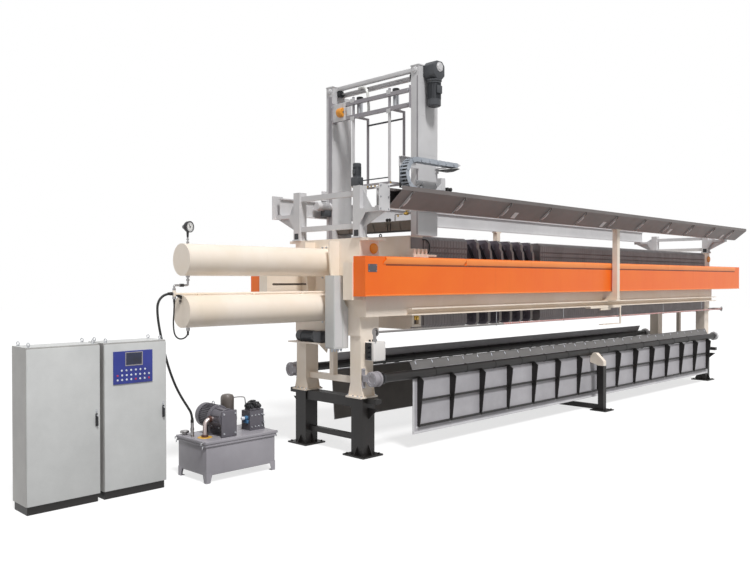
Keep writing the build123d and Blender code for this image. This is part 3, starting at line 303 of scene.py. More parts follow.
def makePaint(name, look):
    tree, place = startMaterial(name)
    clouds = addNode(tree, "TexNoise", {"Scale": 1.1, "Detail": 4, "Roughness": 0.6}, {"Vector": place})
    stretch = addNode(tree, "Mapping", {"Scale": (9, 9, 0.7)}, {"Vector": place})
    runs = addNode(tree, "TexNoise", {"Scale": 1, "Detail": 6, "Roughness": 0.7},
        {"Vector": stretch.outputs["Vector"]})
    base = addNode(tree, "ValToRGB", links={"Fac": clouds.outputs["Fac"]},
        stops=[(0.35, look["low"]), (0.65, look["high"])]).outputs["Color"]
    dust = addNode(tree, "ValToRGB", links={"Fac": runs.outputs["Fac"]},
        stops=[(0.56, "#000000"), (0.86, "#8A8A8A")]).outputs["Color"]
    mixed = addNode(tree, "Mix", {"B": toLinear(look["dust"])}, {"Factor": dust, "A": base}, data_type="RGBA")
    peel = addNode(tree, "TexNoise", {"Scale": 1 / (look["peelMm"] * mm), "Detail": 2}, {"Vector": place})
    bump = addNode(tree, "Bump", {"Strength": look["peel"], "Distance": 0.002},
        {"Height": peel.outputs["Fac"]})
    gloss = addNode(tree, "MapRange",
        {"To Min": look["roughness"] - 0.05, "To Max": look["roughness"] + 0.12},
        {"Value": runs.outputs["Fac"]})
    finishMaterial(tree, {"IOR": 1.5}, {"Base Color": mixed.outputs["Result"],
        "Roughness": gloss.outputs["Result"], "Normal": bump.outputs["Normal"]})


for name, look in paintLook.items():
    makePaint(name, look)

# Textured epoxy powder coat, as on switchgear: matt with a fine pebble of about 1 mm, drawn at 5 mm
powderLook = {
    "cabinetPowder": dict(high="#D1D2D1", low="#C6C7C6", roughness=0.48, pebbleMm=5, pebble=0.1),
    # A darker copy of cabinetPowder for the cabinet shells: painted shade on their sides
    "cabinetShadedSidePowder": dict(high="#B4B3B0", low="#A6A4A2", roughness=0.5, pebbleMm=5, pebble=0.12),
    "boxPowder": dict(high="#F0EDEA", low="#E4E0DC", roughness=0.45, pebbleMm=5, pebble=0.08),
    "leafSheet": dict(high="#B9B7BB", low="#A8A6AA", roughness=0.5, pebbleMm=40, pebble=0.06),
    "stripSheet": dict(high="#DAD9DB", low="#CBCACD", roughness=0.45, pebbleMm=40, pebble=0.05),
    "flapSheet": dict(high="#6E6C6B", low="#62605F", roughness=0.5, pebbleMm=40, pebble=0.06),
    # A darker sheet for the leaves' inner faces: painted shade
    "linerSheet": dict(high="#68635F", low="#5A5652", roughness=0.55, pebbleMm=30, pebble=0.08),
}


def makePowder(name, look):
    tree, place = startMaterial(name)
    clouds = addNode(tree, "TexNoise", {"Scale": 1.6, "Detail": 5, "Roughness": 0.65}, {"Vector": place})
    base = addNode(tree, "ValToRGB", links={"Fac": clouds.outputs["Fac"]},
        stops=[(0.34, look["low"]), (0.66, look["high"])]).outputs["Color"]
    pebbles = addNode(tree, "TexVoronoi", {"Scale": 1 / (look["pebbleMm"] * mm)}, {"Vector": place})
    bump = addNode(tree, "Bump", {"Strength": look["pebble"], "Distance": 0.0015},
        {"Height": pebbles.outputs["Distance"]})
    finishMaterial(tree, {"IOR": 1.5, "Roughness": look["roughness"]},
        {"Base Color": base, "Normal": bump.outputs["Normal"]})


for name, look in powderLook.items():
    makePowder(name, look)

# Moulded polymers: polypropylene plates with flow marks and filtrate film, nylon links, rubber, film keys
mouldedLook = {
    "platePolypropylene": dict(high="#837C86", low="#6C6670", roughness=0.5, grainMm=60, grain=0.15),
    # A paler copy for the plates' side edges: painted light
    "litEdgePolypropylene": dict(high="#9A9594", low="#89837F", roughness=0.5, grainMm=60, grain=0.1),
    "packPolypropylene": dict(high="#8E8788", low="#7C7576", roughness=0.5, grainMm=60, grain=0.15),
    "darkPolypropylene": dict(high="#3A363D", low="#2D2A30", roughness=0.5, grainMm=60, grain=0.15),
    "chainNylon": dict(high="#B4BAC2", low="#9FA6AF", roughness=0.4, grainMm=30, grain=0.1),
    "blackNylon": dict(high="#26262A", low="#1B1B1E", roughness=0.42, grainMm=12, grain=0.1),
    "keyWhite": dict(high="#E6EAF2", low="#D6DCE8", roughness=0.4, grainMm=8, grain=0.02),
    "keyRed": dict(high="#C9355A", low="#B82C4E", roughness=0.4, grainMm=8, grain=0.02),
    "panelFilm": dict(high="#33409A", low="#2A3588", roughness=0.32, grainMm=20, grain=0.02),
    "valveBlue": dict(high="#4E7FA8", low="#3F6C93", roughness=0.35, grainMm=12, grain=0.05),
    "hoseRubber": dict(high="#1C1C1C", low="#121212", roughness=0.5, grainMm=8, grain=0.15),
    "sealRubber": dict(high="#54362E", low="#432A24", roughness=0.6, grainMm=10, grain=0.1),
    "clearTube": dict(high="#E9E9E6", low="#DADAD6", roughness=0.25, grainMm=20, grain=0.02),
}


def makeMoulded(name, look):
    tree, place = startMaterial(name)
    flow = addNode(tree, "TexNoise", {"Scale": 2.4, "Detail": 5, "Distortion": 0.6}, {"Vector": place})
    base = addNode(tree, "ValToRGB", links={"Fac": flow.outputs["Fac"]},
        stops=[(0.36, look["low"]), (0.64, look["high"])]).outputs["Color"]
    grain = addNode(tree, "TexNoise", {"Scale": 1 / (look["grainMm"] * mm), "Detail": 3}, {"Vector": place})
    bump = addNode(tree, "Bump", {"Strength": look["grain"], "Distance": 0.002},
        {"Height": grain.outputs["Fac"]})
    finishMaterial(tree, {"IOR": 1.49, "Roughness": look["roughness"]},
        {"Base Color": base, "Normal": bump.outputs["Normal"]})


for name, look in mouldedLook.items():
    makeMoulded(name, look)

# Bare metals: ground chrome rods, zinc-plated fasteners, drawn pipe, cast brass, copper-pink suction bend
metalLook = {
    "groundChrome": dict(high="#E4E4E6", low="#D2D2D6", roughness=0.16, scratchMm=(400, 4, 4)),
    "zincSteel": dict(high="#C4C5C8", low="#A9ABAF", roughness=0.34, scratchMm=(12, 12, 12)),
    "drawnSteel": dict(high="#A8A6A6", low="#8C8A8B", roughness=0.36, scratchMm=(60, 6, 6)),
    "castBrass": dict(high="#C9A85C", low="#A98A45", roughness=0.38, scratchMm=(10, 10, 10)),
    "pinkPipe": dict(high="#CFC3C1", low="#B5A6A3", roughness=0.46, scratchMm=(30, 8, 8)),
}


def makeMetal(name, look):
    tree, place = startMaterial(name)
    spread = addNode(tree, "Mapping", {"Scale": [1 / (size * mm) for size in look["scratchMm"]]},
        {"Vector": place})
    marks = addNode(tree, "TexNoise", {"Scale": 1, "Detail": 4}, {"Vector": spread.outputs["Vector"]})
    base = addNode(tree, "ValToRGB", links={"Fac": marks.outputs["Fac"]},
        stops=[(0.3, look["low"]), (0.7, look["high"])]).outputs["Color"]
    gloss = addNode(tree, "MapRange", {"To Min": look["roughness"] - 0.05, "To Max": look["roughness"] + 0.1},
        {"Value": marks.outputs["Fac"]})
    finishMaterial(tree, {"Metallic": 1}, {"Base Color": base, "Roughness": gloss.outputs["Result"]})


for name, look in metalLook.items():
    makeMetal(name, look)

# Pull cord: plastic-sheathed steel wire with a printed spiral of red on white; the wave repeats at pi / 10
cordPrint = {"red": "#B5433F", "white": "#D9CFCB", "grey": "#8C8886", "pitchMm": 60, "stripeStart": 3.2,
    "lean": 0.5, "waveShare": 0.314}


def makeCordPrint():
    tree, place = startMaterial("cordPrint")
    spread = addNode(tree, "Mapping", {"Rotation": (0, cordPrint["lean"], 0)}, {"Vector": place})
    bands = addNode(tree, "TexWave", {"Scale": cordPrint["waveShare"] / (cordPrint["pitchMm"] * mm)},
        {"Vector": spread.outputs["Vector"]}, wave_type="BANDS", bands_direction="X")
    stripe = addNode(tree, "ValToRGB", links={"Fac": bands.outputs["Fac"]},
        stops=[(0.48, cordPrint["red"]), (0.52, cordPrint["white"])]).outputs["Color"]
    along = addNode(tree, "SeparateXYZ", links={"Vector": place})
    past = addNode(tree, "Math", {1: datum.x + cordPrint["stripeStart"]}, {0: along.outputs["X"]},
        operation="GREATER_THAN")
    mixed = addNode(tree, "Mix", {"A": toLinear(cordPrint["grey"])},
        {"Factor": past.outputs["Value"], "B": stripe}, data_type="RGBA")
    finishMaterial(tree, {"IOR": 1.5, "Roughness": 0.45}, {"Base Color": mixed.outputs["Result"]})


# Toughened glass over a dark display: a deep blue-black with a sharp gloss
def makeScreenGlass():
    tree, place = startMaterial("screenGlass")
    haze = addNode(tree, "TexNoise", {"Scale": 8, "Detail": 2}, {"Vector": place})
    base = addNode(tree, "ValToRGB", links={"Fac": haze.outputs["Fac"]},
        stops=[(0.3, "#151A33"), (0.7, "#20284A")]).outputs["Color"]
    finishMaterial(tree, {"IOR": 1.52, "Roughness": 0.12}, {"Base Color": base})


# Painted aluminium dial: white, with ticks printed on by distance and angle
dial = {"ticks": 24, "tickShare": 0.72, "tickStart": 0.044, "white": "#F4F4F2", "print": "#2A2A2A"}


def makeDial(centre):
    tree, place = startMaterial("gaugeDial")
    shift = addNode(tree, "VectorMath", {1: tuple(centre)}, {0: place}, operation="SUBTRACT")
    parts = addNode(tree, "SeparateXYZ", links={"Vector": shift.outputs["Vector"]})
    angle = addNode(tree, "Math", links={0: parts.outputs["Z"], 1: parts.outputs["X"]}, operation="ARCTAN2")
    turns = addNode(tree, "Math", {1: dial["ticks"]}, {0: angle.outputs["Value"]}, operation="MULTIPLY")
    wave = addNode(tree, "Math", links={0: turns.outputs["Value"]}, operation="COSINE")
    tick = addNode(tree, "Math", {1: dial["tickShare"]}, {0: wave.outputs["Value"]}, operation="GREATER_THAN")
    reach = addNode(tree, "VectorMath", links={0: shift.outputs["Vector"]}, operation="LENGTH")
    rim = addNode(tree, "Math", {1: dial["tickStart"]}, {0: reach.outputs["Value"]}, operation="GREATER_THAN")
    both = addNode(tree, "Math", links={0: tick.outputs["Value"], 1: rim.outputs["Value"]},
        operation="MULTIPLY")
    base = addNode(tree, "ValToRGB", links={"Fac": both.outputs["Value"]},
        stops=[(0.45, dial["white"]), (0.55, dial["print"])]).outputs["Color"]
    finishMaterial(tree, {"IOR": 1.5, "Roughness": 0.3}, {"Base Color": base})


makeCordPrint()
makeScreenGlass()

print("materials made")

# The CAD nodes that stay take their finish here; the others are replaced below
nodeFinish = (
    ("creamEnamel", "pipe_saddles press_columns thrust_frame hydraulic_cylinders side_beams moving_head "
     "feed_head rail_columns motor_shelf"),
    ("orangeEnamel", "beam_covers"),
    ("greyEnamel", "cylinder_end_gantry feed_end_gantry tower_rails door_drives door_bearings tower_legs "
     "tower_bars"),
    ("shadeGreyEnamel", "spray_carriage"),
    ("troughEnamel", "cable_trough"),
    ("blackEnamel", "end_stands middle_stand cabinet_plinths near_door_pipe near_door_frame far_door_pipe "
     "far_door_frame"),
    ("motorEnamel", "travel_motor shelf_motor drip_tray tower_gearmotor"),
    ("tankEnamel", "unit_tank"),
    ("unitEnamel", "unit_motor unit_valves"),
    ("cabinetPowder", "tall_box left_cabinet_door right_cabinet_door"),
    # The cabinet shells take the darker powder: painted shade on their sides
    ("cabinetShadedSidePowder", "control_cabinets"),
    ("boxPowder", "terminal_box"),
    ("leafSheet", "near_door_panels far_door_panels"),
    ("platePolypropylene", "front_plate_pack rear_plate_pack filter_plate_1 filter_plate_2 filter_plate_3 "
     "filter_plate_4 filter_plate_5 filter_plate_6"),
    ("hoseRubber", "pressure_hose short_hose"),
    ("blackNylon", "pressure_gauge"),
    ("panelFilm", "operator_panel"),
    ("chainNylon", "drag_chain"),
    ("groundChrome", "piston_rods"),
    ("drawnSteel", "cord_brackets cylinder_pipes"),
    ("zincSteel", "unit_ports"),
    ("cordPrint", "pull_cord"),
)
for finish, names in nodeFinish:
    for name in names.split():
        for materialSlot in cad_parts[name].material_slots:
            materialSlot.material = materials[finish]

# Camera: the photograph's own viewpoint, solved from the 1.5 m plates and the parallel edges of the press
view = {"eye": (-8.14, -9.06, 2.65), "yawDeg": 45, "pitchDeg": -0.74, "lensMm": 37.2, "sensorMm": 36}
cameraData = bpy.data.cameras.new("photoView")
cameraData.lens = view["lensMm"]
cameraData.sensor_width = view["sensorMm"]
cameraData.clip_end = 400
camera = bpy.data.objects.new("photoView", cameraData)
camera.location = Vector(view["eye"]) + datum
camera.rotation_euler = (radians(90 + view["pitchDeg"]), 0, radians(view["yawDeg"] - 90))
bpy.context.scene.collection.objects.link(camera)
bpy.context.scene.camera = camera
bpy.context.scene.view_settings.view_transform = "Standard"

# Hoses: the route points are the ones the CAD tubes follow, first at the fitting they leave
hoses = {
    "pressureHose": dict(node="pressure_hose", diameter=0.032, length=1.971, stiffness="stiff", route=[
        (-2.84, 0, 2.47), (-2.92, 0, 2.47), (-3.003, 0.004, 2.423), (-3.048, 0.008, 2.341),
        (-3.052, 0.006, 2.235), (-3.04, 0, 2.1), (-3.016, -0.005, 1.96), (-2.978, -0.003, 1.8),
        (-2.928, 0.003, 1.62), (-2.868, 0.007, 1.44), (-2.795, 0.005, 1.26), (-2.708, -0.002, 1.095),
        (-2.612, 0, 0.955), (-2.545, 0, 0.85), (-2.545, 0, 0.74)]),
    "shortHose": dict(node="short_hose", diameter=0.02, length=0.756, stiffness="medium", route=[
        (-2.81, 0, 2.4), (-2.81, 0, 2.31), (-2.816, -0.003, 2.21), (-2.824, 0, 2.11),
        (-2.818, 0.003, 2.01), (-2.806, 0, 1.937), (-2.773, 0, 1.89), (-2.724, -0.002, 1.868),
        (-2.67, 0, 1.873), (-2.626, 0, 1.9), (-2.605, 0, 1.94), (-2.605, 0, 1.975)]),
}
for name, hose in hoses.items():
    points = [Vector(point) + datum for point in hose["route"]]
    curve, piece = makeCurve(name, points, hose["diameter"] / 2, 5, 8)
    curve.materials.append(materials["hoseRubber"])
    bpy.context.scene.collection.objects.link(piece)
    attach(piece, "root")
    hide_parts(hose["node"])
print("camera and hoses placed")

# Floor, sky and lamps: a white studio whose floor keeps soft shadows
studio = {"floorHalf": 60, "floorWhite": 0.92, "floorBounce": 0.4, "floorGlow": 0.62, "glowStrength": 1.16,
    "skyStrength": 0.32, "sunStrength": 2.65, "sunDeg": 12, "sunFrom": (-0.25, -0.68, 1),
    "fillStrength": 0.24, "fillFrom": (-1, 0.2, 0.5)}


# 1 where the camera sees a surface directly, in a reflection or through glass
def seenByEye(tree):
    rays = addNode(tree, "LightPath").outputs
    value = rays["Is Camera Ray"]
    for other in ("Is Glossy Ray", "Is Transmission Ray"):
        value = addNode(tree, "Math", links={0: value, 1: rays[other]}, operation="MAXIMUM").outputs["Value"]
    return value


floorMesh = bmesh.new()
bmesh.ops.create_grid(floorMesh, x_segments=1, y_segments=1, size=studio["floorHalf"])
floorData = bpy.data.meshes.new("studioFloor")
floorMesh.to_mesh(floorData)
floorMesh.free()
floor = bpy.data.objects.new("studioFloor", floorData)
bpy.context.scene.collection.objects.link(floor)
floorMaterial = bpy.data.materials.new("studioFloorPaint")
tree = emptyTree(floorMaterial)
seen = seenByEye(tree)
share = addNode(tree, "Math", {1: studio["floorGlow"]}, {0: seen}, operation="MULTIPLY")
bounce = addNode(tree, "MapRange", {"To Min": studio["floorBounce"], "To Max": studio["floorWhite"]},
    {"Value": seen})
matt = addNode(tree, "BsdfDiffuse", links={"Color": bounce.outputs["Result"]})
glow = addNode(tree, "Emission", {"Color": (1, 1, 1, 1), "Strength": studio["glowStrength"]})
floorShader = addNode(tree, "MixShader", links={"Fac": share.outputs["Value"], 1: matt.outputs["BSDF"],
    2: glow.outputs["Emission"]})
addNode(tree, "OutputMaterial", links={"Surface": floorShader.outputs["Shader"]})
floorData.materials.append(floorMaterial)

world = bpy.data.worlds.new("studioSky")
bpy.context.scene.world = world
tree = emptyTree(world)
level = addNode(tree, "MapRange", {"To Min": studio["skyStrength"], "To Max": 1}, {"Value": seenByEye(tree)})
sky = addNode(tree, "Background", {"Color": (1, 1, 1, 1)}, {"Strength": level.outputs["Result"]})
addNode(tree, "OutputWorld", links={"Surface": sky.outputs["Background"]})

for name, strength, source in (("keySun", studio["sunStrength"], studio["sunFrom"]),
        ("fillSun", studio["fillStrength"], studio["fillFrom"])):
    lamp = bpy.data.lights.new(name, "SUN")
    lamp.energy = strength
    lamp.angle = radians(studio["sunDeg"])
    lampObject = bpy.data.objects.new(name, lamp)
    lampObject.rotation_euler = Vector(source).to_track_quat("Z", "Y").to_euler()
    bpy.context.scene.collection.objects.link(lampObject)
print("studio lit")


# Control cabinets: bent sheet doors with swing handles, lifting eyes and the operator's panel
cabinetLook = {"edge": 0.006, "handleWide": 0.03, "handleTall": 0.15, "handleDeep": 0.02, "leverDeep": 0.034,
    "keeperRise": 0.075, "eyeRadius": 0.02, "eyeRod": 0.0055, "eyeInset": 0.05}


def makeCabinetDoor(node, pieceName):
    low, high = localBox(node)
    front = low.y + 0.022  # the CAD handle stands this far in front of the sheet
    bm = bmesh.new()
    addBox(bm, (low.x, front, low.z), (high.x, high.y, high.z), cabinetLook["edge"], steps=2)
    for share in (0.12, 0.88):  # hinge knuckles on the left edge
        z = low.z + share * (high.z - low.z)
        addRod(bm, (low.x + 0.008, front + 0.004, z - 0.03), (0, 0, 0.06), 0.006, sides=12)
    addPiece(pieceName, bm, "cabinetPowder", node, replaces=node)
    x = high.x - 0.046
    z = (low.z + high.z) / 2
    half = cabinetLook["handleTall"] / 2
    wide = cabinetLook["handleWide"] / 2
    addBox(bm, (x - wide, front - cabinetLook["handleDeep"] * 0.5, z - half), (x + wide, front, z + half),
        0.006, steps=3)
    addBox(bm, (x - wide * 0.7, front - cabinetLook["leverDeep"], z - half * 0.92),
        (x + wide * 0.7, front - cabinetLook["handleDeep"] * 0.4, z + half * 0.55), 0.006, steps=3)
    addPiece(pieceName + "Handle", bm, "blackNylon", node)
    keeperZ = z + cabinetLook["keeperRise"] + 0.03
    addBox(bm, (x - wide * 0.6, front - 0.01, keeperZ - 0.022), (x + wide * 0.6, front, keeperZ + 0.022),
        0.003, steps=2)
    addRod(bm, (x, front, z + half * 0.75), (0, -0.03, 0), 0.009, sides=16)
    addPiece(pieceName + "Keeper", bm, "zincSteel", node)


makeCabinetDoor("left_cabinet_door", "leftDoor")
makeCabinetDoor("right_cabinet_door", "rightDoor")

bm = bmesh.new()  # each addPiece leaves it empty
shellLow, shellHigh = localBox("control_cabinets")
leftEnd = localBox("left_cabinet_door")[1].x
rightStart = localBox("right_cabinet_door")[0].x
for span in ((shellLow.x, leftEnd), (rightStart, shellHigh.x)):
    inset = cabinetLook["eyeInset"]
    for x in (span[0] + inset, span[1] - inset):
        for y in (shellLow.y + inset, shellHigh.y - inset):
            addRod(bm, (x, y, shellHigh.z), (0, 0, 0.012), 0.016, sides=16)
            addRing(bm, (x, y, shellHigh.z + 0.01 + cabinetLook["eyeRadius"]), (1, 0.4, 0),
                cabinetLook["eyeRadius"], cabinetLook["eyeRod"])
addPiece("cabinetEyes", bm, "zincSteel")

# Roof pans that stand a little proud of the shells
for span in ((shellLow.x, leftEnd + 0.003), (rightStart - 0.003, shellHigh.x)):
    addBox(bm, (span[0] + 0.002, shellLow.y + 0.002, shellHigh.z - 0.006),
        (span[1] - 0.002, shellHigh.y - 0.002, shellHigh.z + 0.002), 0.002)
addPiece("cabinetRoofs", bm, "cabinetPowder")

# Operator's panel: printed film on a bevelled plate, a framed display and three rows of keys
panel = {"screenLeft": 0.316, "screenRight": 0.714, "screenTop": 0.067, "screenBottom": 0.427, "frame": 0.012,
    "keyRadius": 0.0125, "rows": ((0.589, 0.205, 0.797, 6), (0.735, 0.1, 0.9, 8), (0.872, 0.1, 0.9, 8)),
    "redKeys": ((1, 0), (2, 4), (2, 7))}
low, high = localBox("operator_panel")
wide, tall = high.x - low.x, high.z - low.z
addBox(bm, low, high, 0.005, steps=2)
addPiece("panelPlate", bm, "panelFilm", "right_cabinet_door", replaces="operator_panel")
screen = [low.x + panel["screenLeft"] * wide, low.x + panel["screenRight"] * wide,
    high.z - panel["screenBottom"] * tall, high.z - panel["screenTop"] * tall]
edge = panel["frame"]
addBox(bm, (screen[0] - edge, low.y - 0.004, screen[2] - edge),
    (screen[1] + edge, low.y + 0.002, screen[3] + edge))
faces = [face for face in bm.faces if face.normal.y < -0.9]
bmesh.ops.inset_region(bm, faces=faces, thickness=edge, depth=0)
centre = [face for face in bm.faces if face.normal.y < -0.9 and face.calc_center_median().x > screen[0]
    and face.calc_center_median().x < screen[1] and face.calc_area() > 0.6 * (screen[1] - screen[0])
    * (screen[3] - screen[2])]
bmesh.ops.inset_region(bm, faces=centre, thickness=0.001, depth=-0.0035)
addPiece("panelFrame", bm, "shadeGreyEnamel", "right_cabinet_door")
addBox(bm, (screen[0], low.y - 0.0015, screen[2]), (screen[1], low.y - 0.0002, screen[3]))
addPiece("panelScreen", bm, "screenGlass", "right_cabinet_door")
whiteKeys, redKeys = bmesh.new(), bmesh.new()
for rowIndex, (drop, start, end, count) in enumerate(panel["rows"]):
    for index in range(count):
        x = low.x + wide * (start + (end - start) * index / (count - 1))
        target = redKeys if (rowIndex, index) in panel["redKeys"] else whiteKeys
        radius = panel["keyRadius"]
        addLathe(target, [(0, 0.005), (radius * 0.8, 0.0045), (radius, 0.002), (radius, 0)],
            (x, low.y, high.z - drop * tall), toNear, steps=16)
addPiece("panelKeys", whiteKeys, "keyWhite", "right_cabinet_door")
addPiece("panelRedKeys", redKeys, "keyRed", "right_cabinet_door")
print("cabinets dressed")

# Hydraulic unit: pressed tank with a double-rimmed lid
low, high = localBox("unit_tank")
tank = {"over": 0.025, "lid": 0.06, "legTop": 0.1, "legWide": 0.095, "legFoot": 0.06, "legProud": 0.002,
    "sheet": 0.006, "hookRod": 0.007}
bodyLow = Vector((low.x + tank["over"], low.y + tank["over"], tank["legTop"]))
bodyHigh = Vector((high.x - tank["over"], high.y - tank["over"], high.z - tank["lid"]))
addBox(bm, bodyLow, (bodyHigh.x, bodyHigh.y, bodyHigh.z + 0.002), 0.01, steps=3)
rim = tank["over"] * 0.7
addBox(bm, (bodyLow.x - rim, bodyLow.y - rim, bodyHigh.z - 0.012),
    (bodyHigh.x + rim, bodyHigh.y + rim, bodyHigh.z + 0.012), 0.004, steps=2)
addBox(bm, (low.x + 0.012, low.y + 0.012, bodyHigh.z + 0.01),
    (high.x - 0.012, high.y - 0.012, bodyHigh.z + 0.026))
addBox(bm, (low.x, low.y, bodyHigh.z + 0.022), (high.x, high.y, high.z), 0.008, steps=3)
for cornerX, wayX in ((bodyLow.x, 1), (bodyHigh.x, -1)):
    for cornerY, wayY in ((bodyLow.y, 1), (bodyHigh.y, -1)):
        top, foot, sheet, joint = tank["legWide"], tank["legFoot"], tank["sheet"], tank["legTop"] + 0.03
        x, y = cornerX - wayX * tank["legProud"], cornerY - wayY * tank["legProud"]
        addPrism(bm, [(x, y, joint), (x, y, 0), (x + wayX * foot, y, 0), (x + wayX * top, y, joint)],
            (0, wayY * sheet, 0))
        y += wayY * sheet
        addPrism(bm, [(x, y, joint), (x, y, 0), (x, y + wayY * (foot - sheet), 0),
            (x, y + wayY * (top - sheet), joint)], (wayX * sheet, 0, 0))
        addPrism(bm, [(x + wayX * sheet, y, 0), (x + wayX * foot, y, 0),
            (x + wayX * foot, y + wayY * foot, 0), (x + wayX * sheet, y + wayY * foot, 0)], (0, 0, 0.008))
addPiece("tankBody", bm, "tankEnamel", replaces="unit_tank")
for x, way in ((low.x, -1), (high.x, 1)):  # lid clamps that stand out at both ends
    for y in (low.y + 0.05, high.y - 0.05):
        for z, reach in ((high.z - 0.012, 0.04), (high.z - 0.062, 0.022)):
            addTube(bm, [(x - way * 0.012, y, z), (x + way * reach * 0.8, y, z),
                (x + way * reach, y, z - 0.006), (x + way * reach, y, z - 0.03)], tank["hookRod"],
                resolution=4)
addPiece("lidClamps", bm, "zincSteel")

# Pump motor: fan cowl, finned stator, bell housing with ribs and the pump's front plate
low, high = localBox("unit_motor")
motor = {"radius": 0.165, "cowl": 0.11, "stator": 0.24, "bellRadius": 0.14, "bell": 0.24, "plate": 0.03,
    "fins": 40, "finDeep": 0.017, "finWide": 0.006}
axisX = (low.x + high.x) / 2
lidTop = localBox("unit_tank")[1].z
axisZ = lidTop + 0.07 + motor["radius"]
backY = high.y
statorY = backY - motor["cowl"]
flangeY = statorY - motor["stator"]
radius = motor["radius"]
addLathe(bm, [(0, 0.012), (radius * 0.35, 0.004), (radius * 0.72, 0.002), (radius * 0.93, 0.01),
    (radius, 0.032), (radius, motor["cowl"]), (radius * 0.9, motor["cowl"])], (axisX, backY, axisZ), toNear)
core = radius - motor["finDeep"]
addLathe(bm, [(core, 0), (core, motor["stator"] - 0.03), (radius, motor["stator"] - 0.026),
    (radius, motor["stator"] + 0.004), (motor["bellRadius"], motor["stator"] + 0.012)],
    (axisX, statorY, axisZ), toNear)
for index in range(motor["fins"]):
    fin = addBox(bm, (-motor["finWide"] / 2, flangeY + 0.03, core - 0.004),
        (motor["finWide"] / 2, statorY + 0.004, radius - 0.002))
    turnAbout(bm, fin, (axisX, 0, axisZ), tau * index / motor["fins"], "Y")
bell = motor["bellRadius"]
addLathe(bm, [(bell, 0), (bell * 0.94, 0.06), (bell * 0.88, 0.12), (bell * 0.92, motor["bell"] - 0.03),
    (bell, motor["bell"] - 0.024), (bell, motor["bell"]), (0, motor["bell"])], (axisX, flangeY, axisZ),
    toNear)
for index in range(8):
    rib = addPrism(bm, [(-0.006, flangeY, bell * 0.8), (-0.006, flangeY, bell * 1.04),
        (-0.006, flangeY - 0.09, bell * 0.98), (-0.006, flangeY - 0.215, bell * 0.98),
        (-0.006, flangeY - 0.215, bell * 0.8)], (0.012, 0, 0))
    turnAbout(bm, rib, (axisX, 0, axisZ), tau * (index + 0.5) / 8, "Y")
plateY = flangeY - motor["bell"]
addBox(bm, (axisX - 0.12, plateY - motor["plate"], lidTop), (axisX + 0.12, plateY + 0.001, high.z - 0.045),
    0.012, steps=3)
addBox(bm, (axisX - 0.11, flangeY + 0.045, lidTop), (axisX + 0.11, flangeY + 0.085, axisZ - 0.1), 0.006)
addBox(bm, (axisX - 0.11, statorY - 0.075, lidTop), (axisX + 0.11, statorY - 0.035, axisZ - 0.1), 0.006)
addBox(bm, (axisX - 0.12, flangeY + 0.03, lidTop), (axisX + 0.12, statorY - 0.02, lidTop + 0.018), 0.004)
addPiece("pumpMotor", bm, "unitEnamel", replaces="unit_motor")
addRing(bm, (axisX, (flangeY + statorY) / 2, axisZ + radius + 0.018), (1, 0.2, 0), 0.02, 0.006)
for sideX in (-0.09, 0.09):
    for sideZ in (0.05, 0.31):
        addBolt(bm, (axisX + sideX, plateY - motor["plate"], lidTop + sideZ), toNear, 0.022)
addBoltRing(bm, (axisX, flangeY - 0.008, axisZ), toNear, radius * 0.9, 8, 0.016, first=0)
addPiece("motorBolts", bm, "zincSteel")

# Suction bend with its seal on a yellow sealing plate, return filter, breather and the hose port
elbowX, elbowY, bend = -2.45, -0.16, 0.075
arc = [(elbowX + bend * (1 - cos(turn)), elbowY, axisZ - bend + bend * sin(turn))
    for turn in (pi / 8, pi / 4, pi * 3 / 8)]
addTube(bm, [(elbowX, elbowY, lidTop + 0.01), (elbowX, elbowY, axisZ - bend - 0.06),
    (elbowX, elbowY, axisZ - bend)] + arc + [(elbowX + bend, elbowY, axisZ),
    (axisX - bell * 0.9, elbowY, axisZ)], 0.028)
addPiece("suctionBend", bm, "pinkPipe", replaces="unit_ports")
addLathe(bm, [(0.029, 0.03), (0.044, 0.028), (0.046, 0.004), (0.046, 0)], (elbowX, elbowY, lidTop + 0.004),
    toUp)
addLathe(bm, [(0.029, 0.03), (0.04, 0.028), (0.042, 0)], (axisX - bell - 0.022, elbowY, axisZ), toRear,
    steps=24)
addPiece("suctionSeals", bm, "sealRubber")
addLathe(bm, [(0, 0.005), (0.094, 0.005), (0.098, 0.002), (0.098, 0)], (elbowX, elbowY, lidTop), toUp)
addPiece("sealingPlate", bm, "yellowEnamel")
filterX, filterY = -1.918, 0.1
addLathe(bm, [(0, 0.5), (0.045, 0.498), (0.075, 0.488), (0.09, 0.465), (0.094, 0.435), (0.094, 0.25),
    (0.088, 0.24), (0.088, 0.06), (0.094, 0.055), (0.094, 0)], (filterX, filterY, lidTop), toUp)
addBoltRing(bm, (filterX, filterY, lidTop + 0.055), toUp, 0.078, 6, 0.014, first=0)
addPiece("returnFilter", bm, "brownCapEnamel")
addTube(bm, [(filterX + 0.08, filterY - 0.02, lidTop + 0.44), (filterX + 0.13, filterY - 0.05, lidTop + 0.45),
    (filterX + 0.205, filterY - 0.11, lidTop + 0.45), (filterX + 0.215, filterY - 0.125, lidTop + 0.42),
    (filterX + 0.215, filterY - 0.14, lidTop + 0.29), (filterX + 0.215, filterY - 0.15, lidTop + 0.26)],
    0.008)
breatherX, breatherY = -2.54, 0.2
addLathe(bm, [(0, 0.058), (0.052, 0.056), (0.059, 0.048), (0.059, 0.026), (0.034, 0.022), (0.034, 0.006),
    (0.046, 0.004), (0.046, 0)], (breatherX, breatherY, lidTop), toUp)
for index in range(12):  # ribs round the breather's cap
    turn = tau * index / 12
    x, y = breatherX + 0.056 * cos(turn), breatherY + 0.056 * sin(turn)
    addBox(bm, (x - 0.004, y - 0.004, lidTop + 0.024), (x + 0.004, y + 0.004, lidTop + 0.05))
port = Vector(hoses["pressureHose"]["route"][-1])
addLathe(bm, [(0.017, 0.19), (0.021, 0.188), (0.021, 0.12), (0.026, 0.118), (0.026, 0.08), (0.022, 0.078),
    (0.022, 0.03), (0.026, 0.028), (0.026, 0)], (port.x, port.y, lidTop), toUp, steps=24)
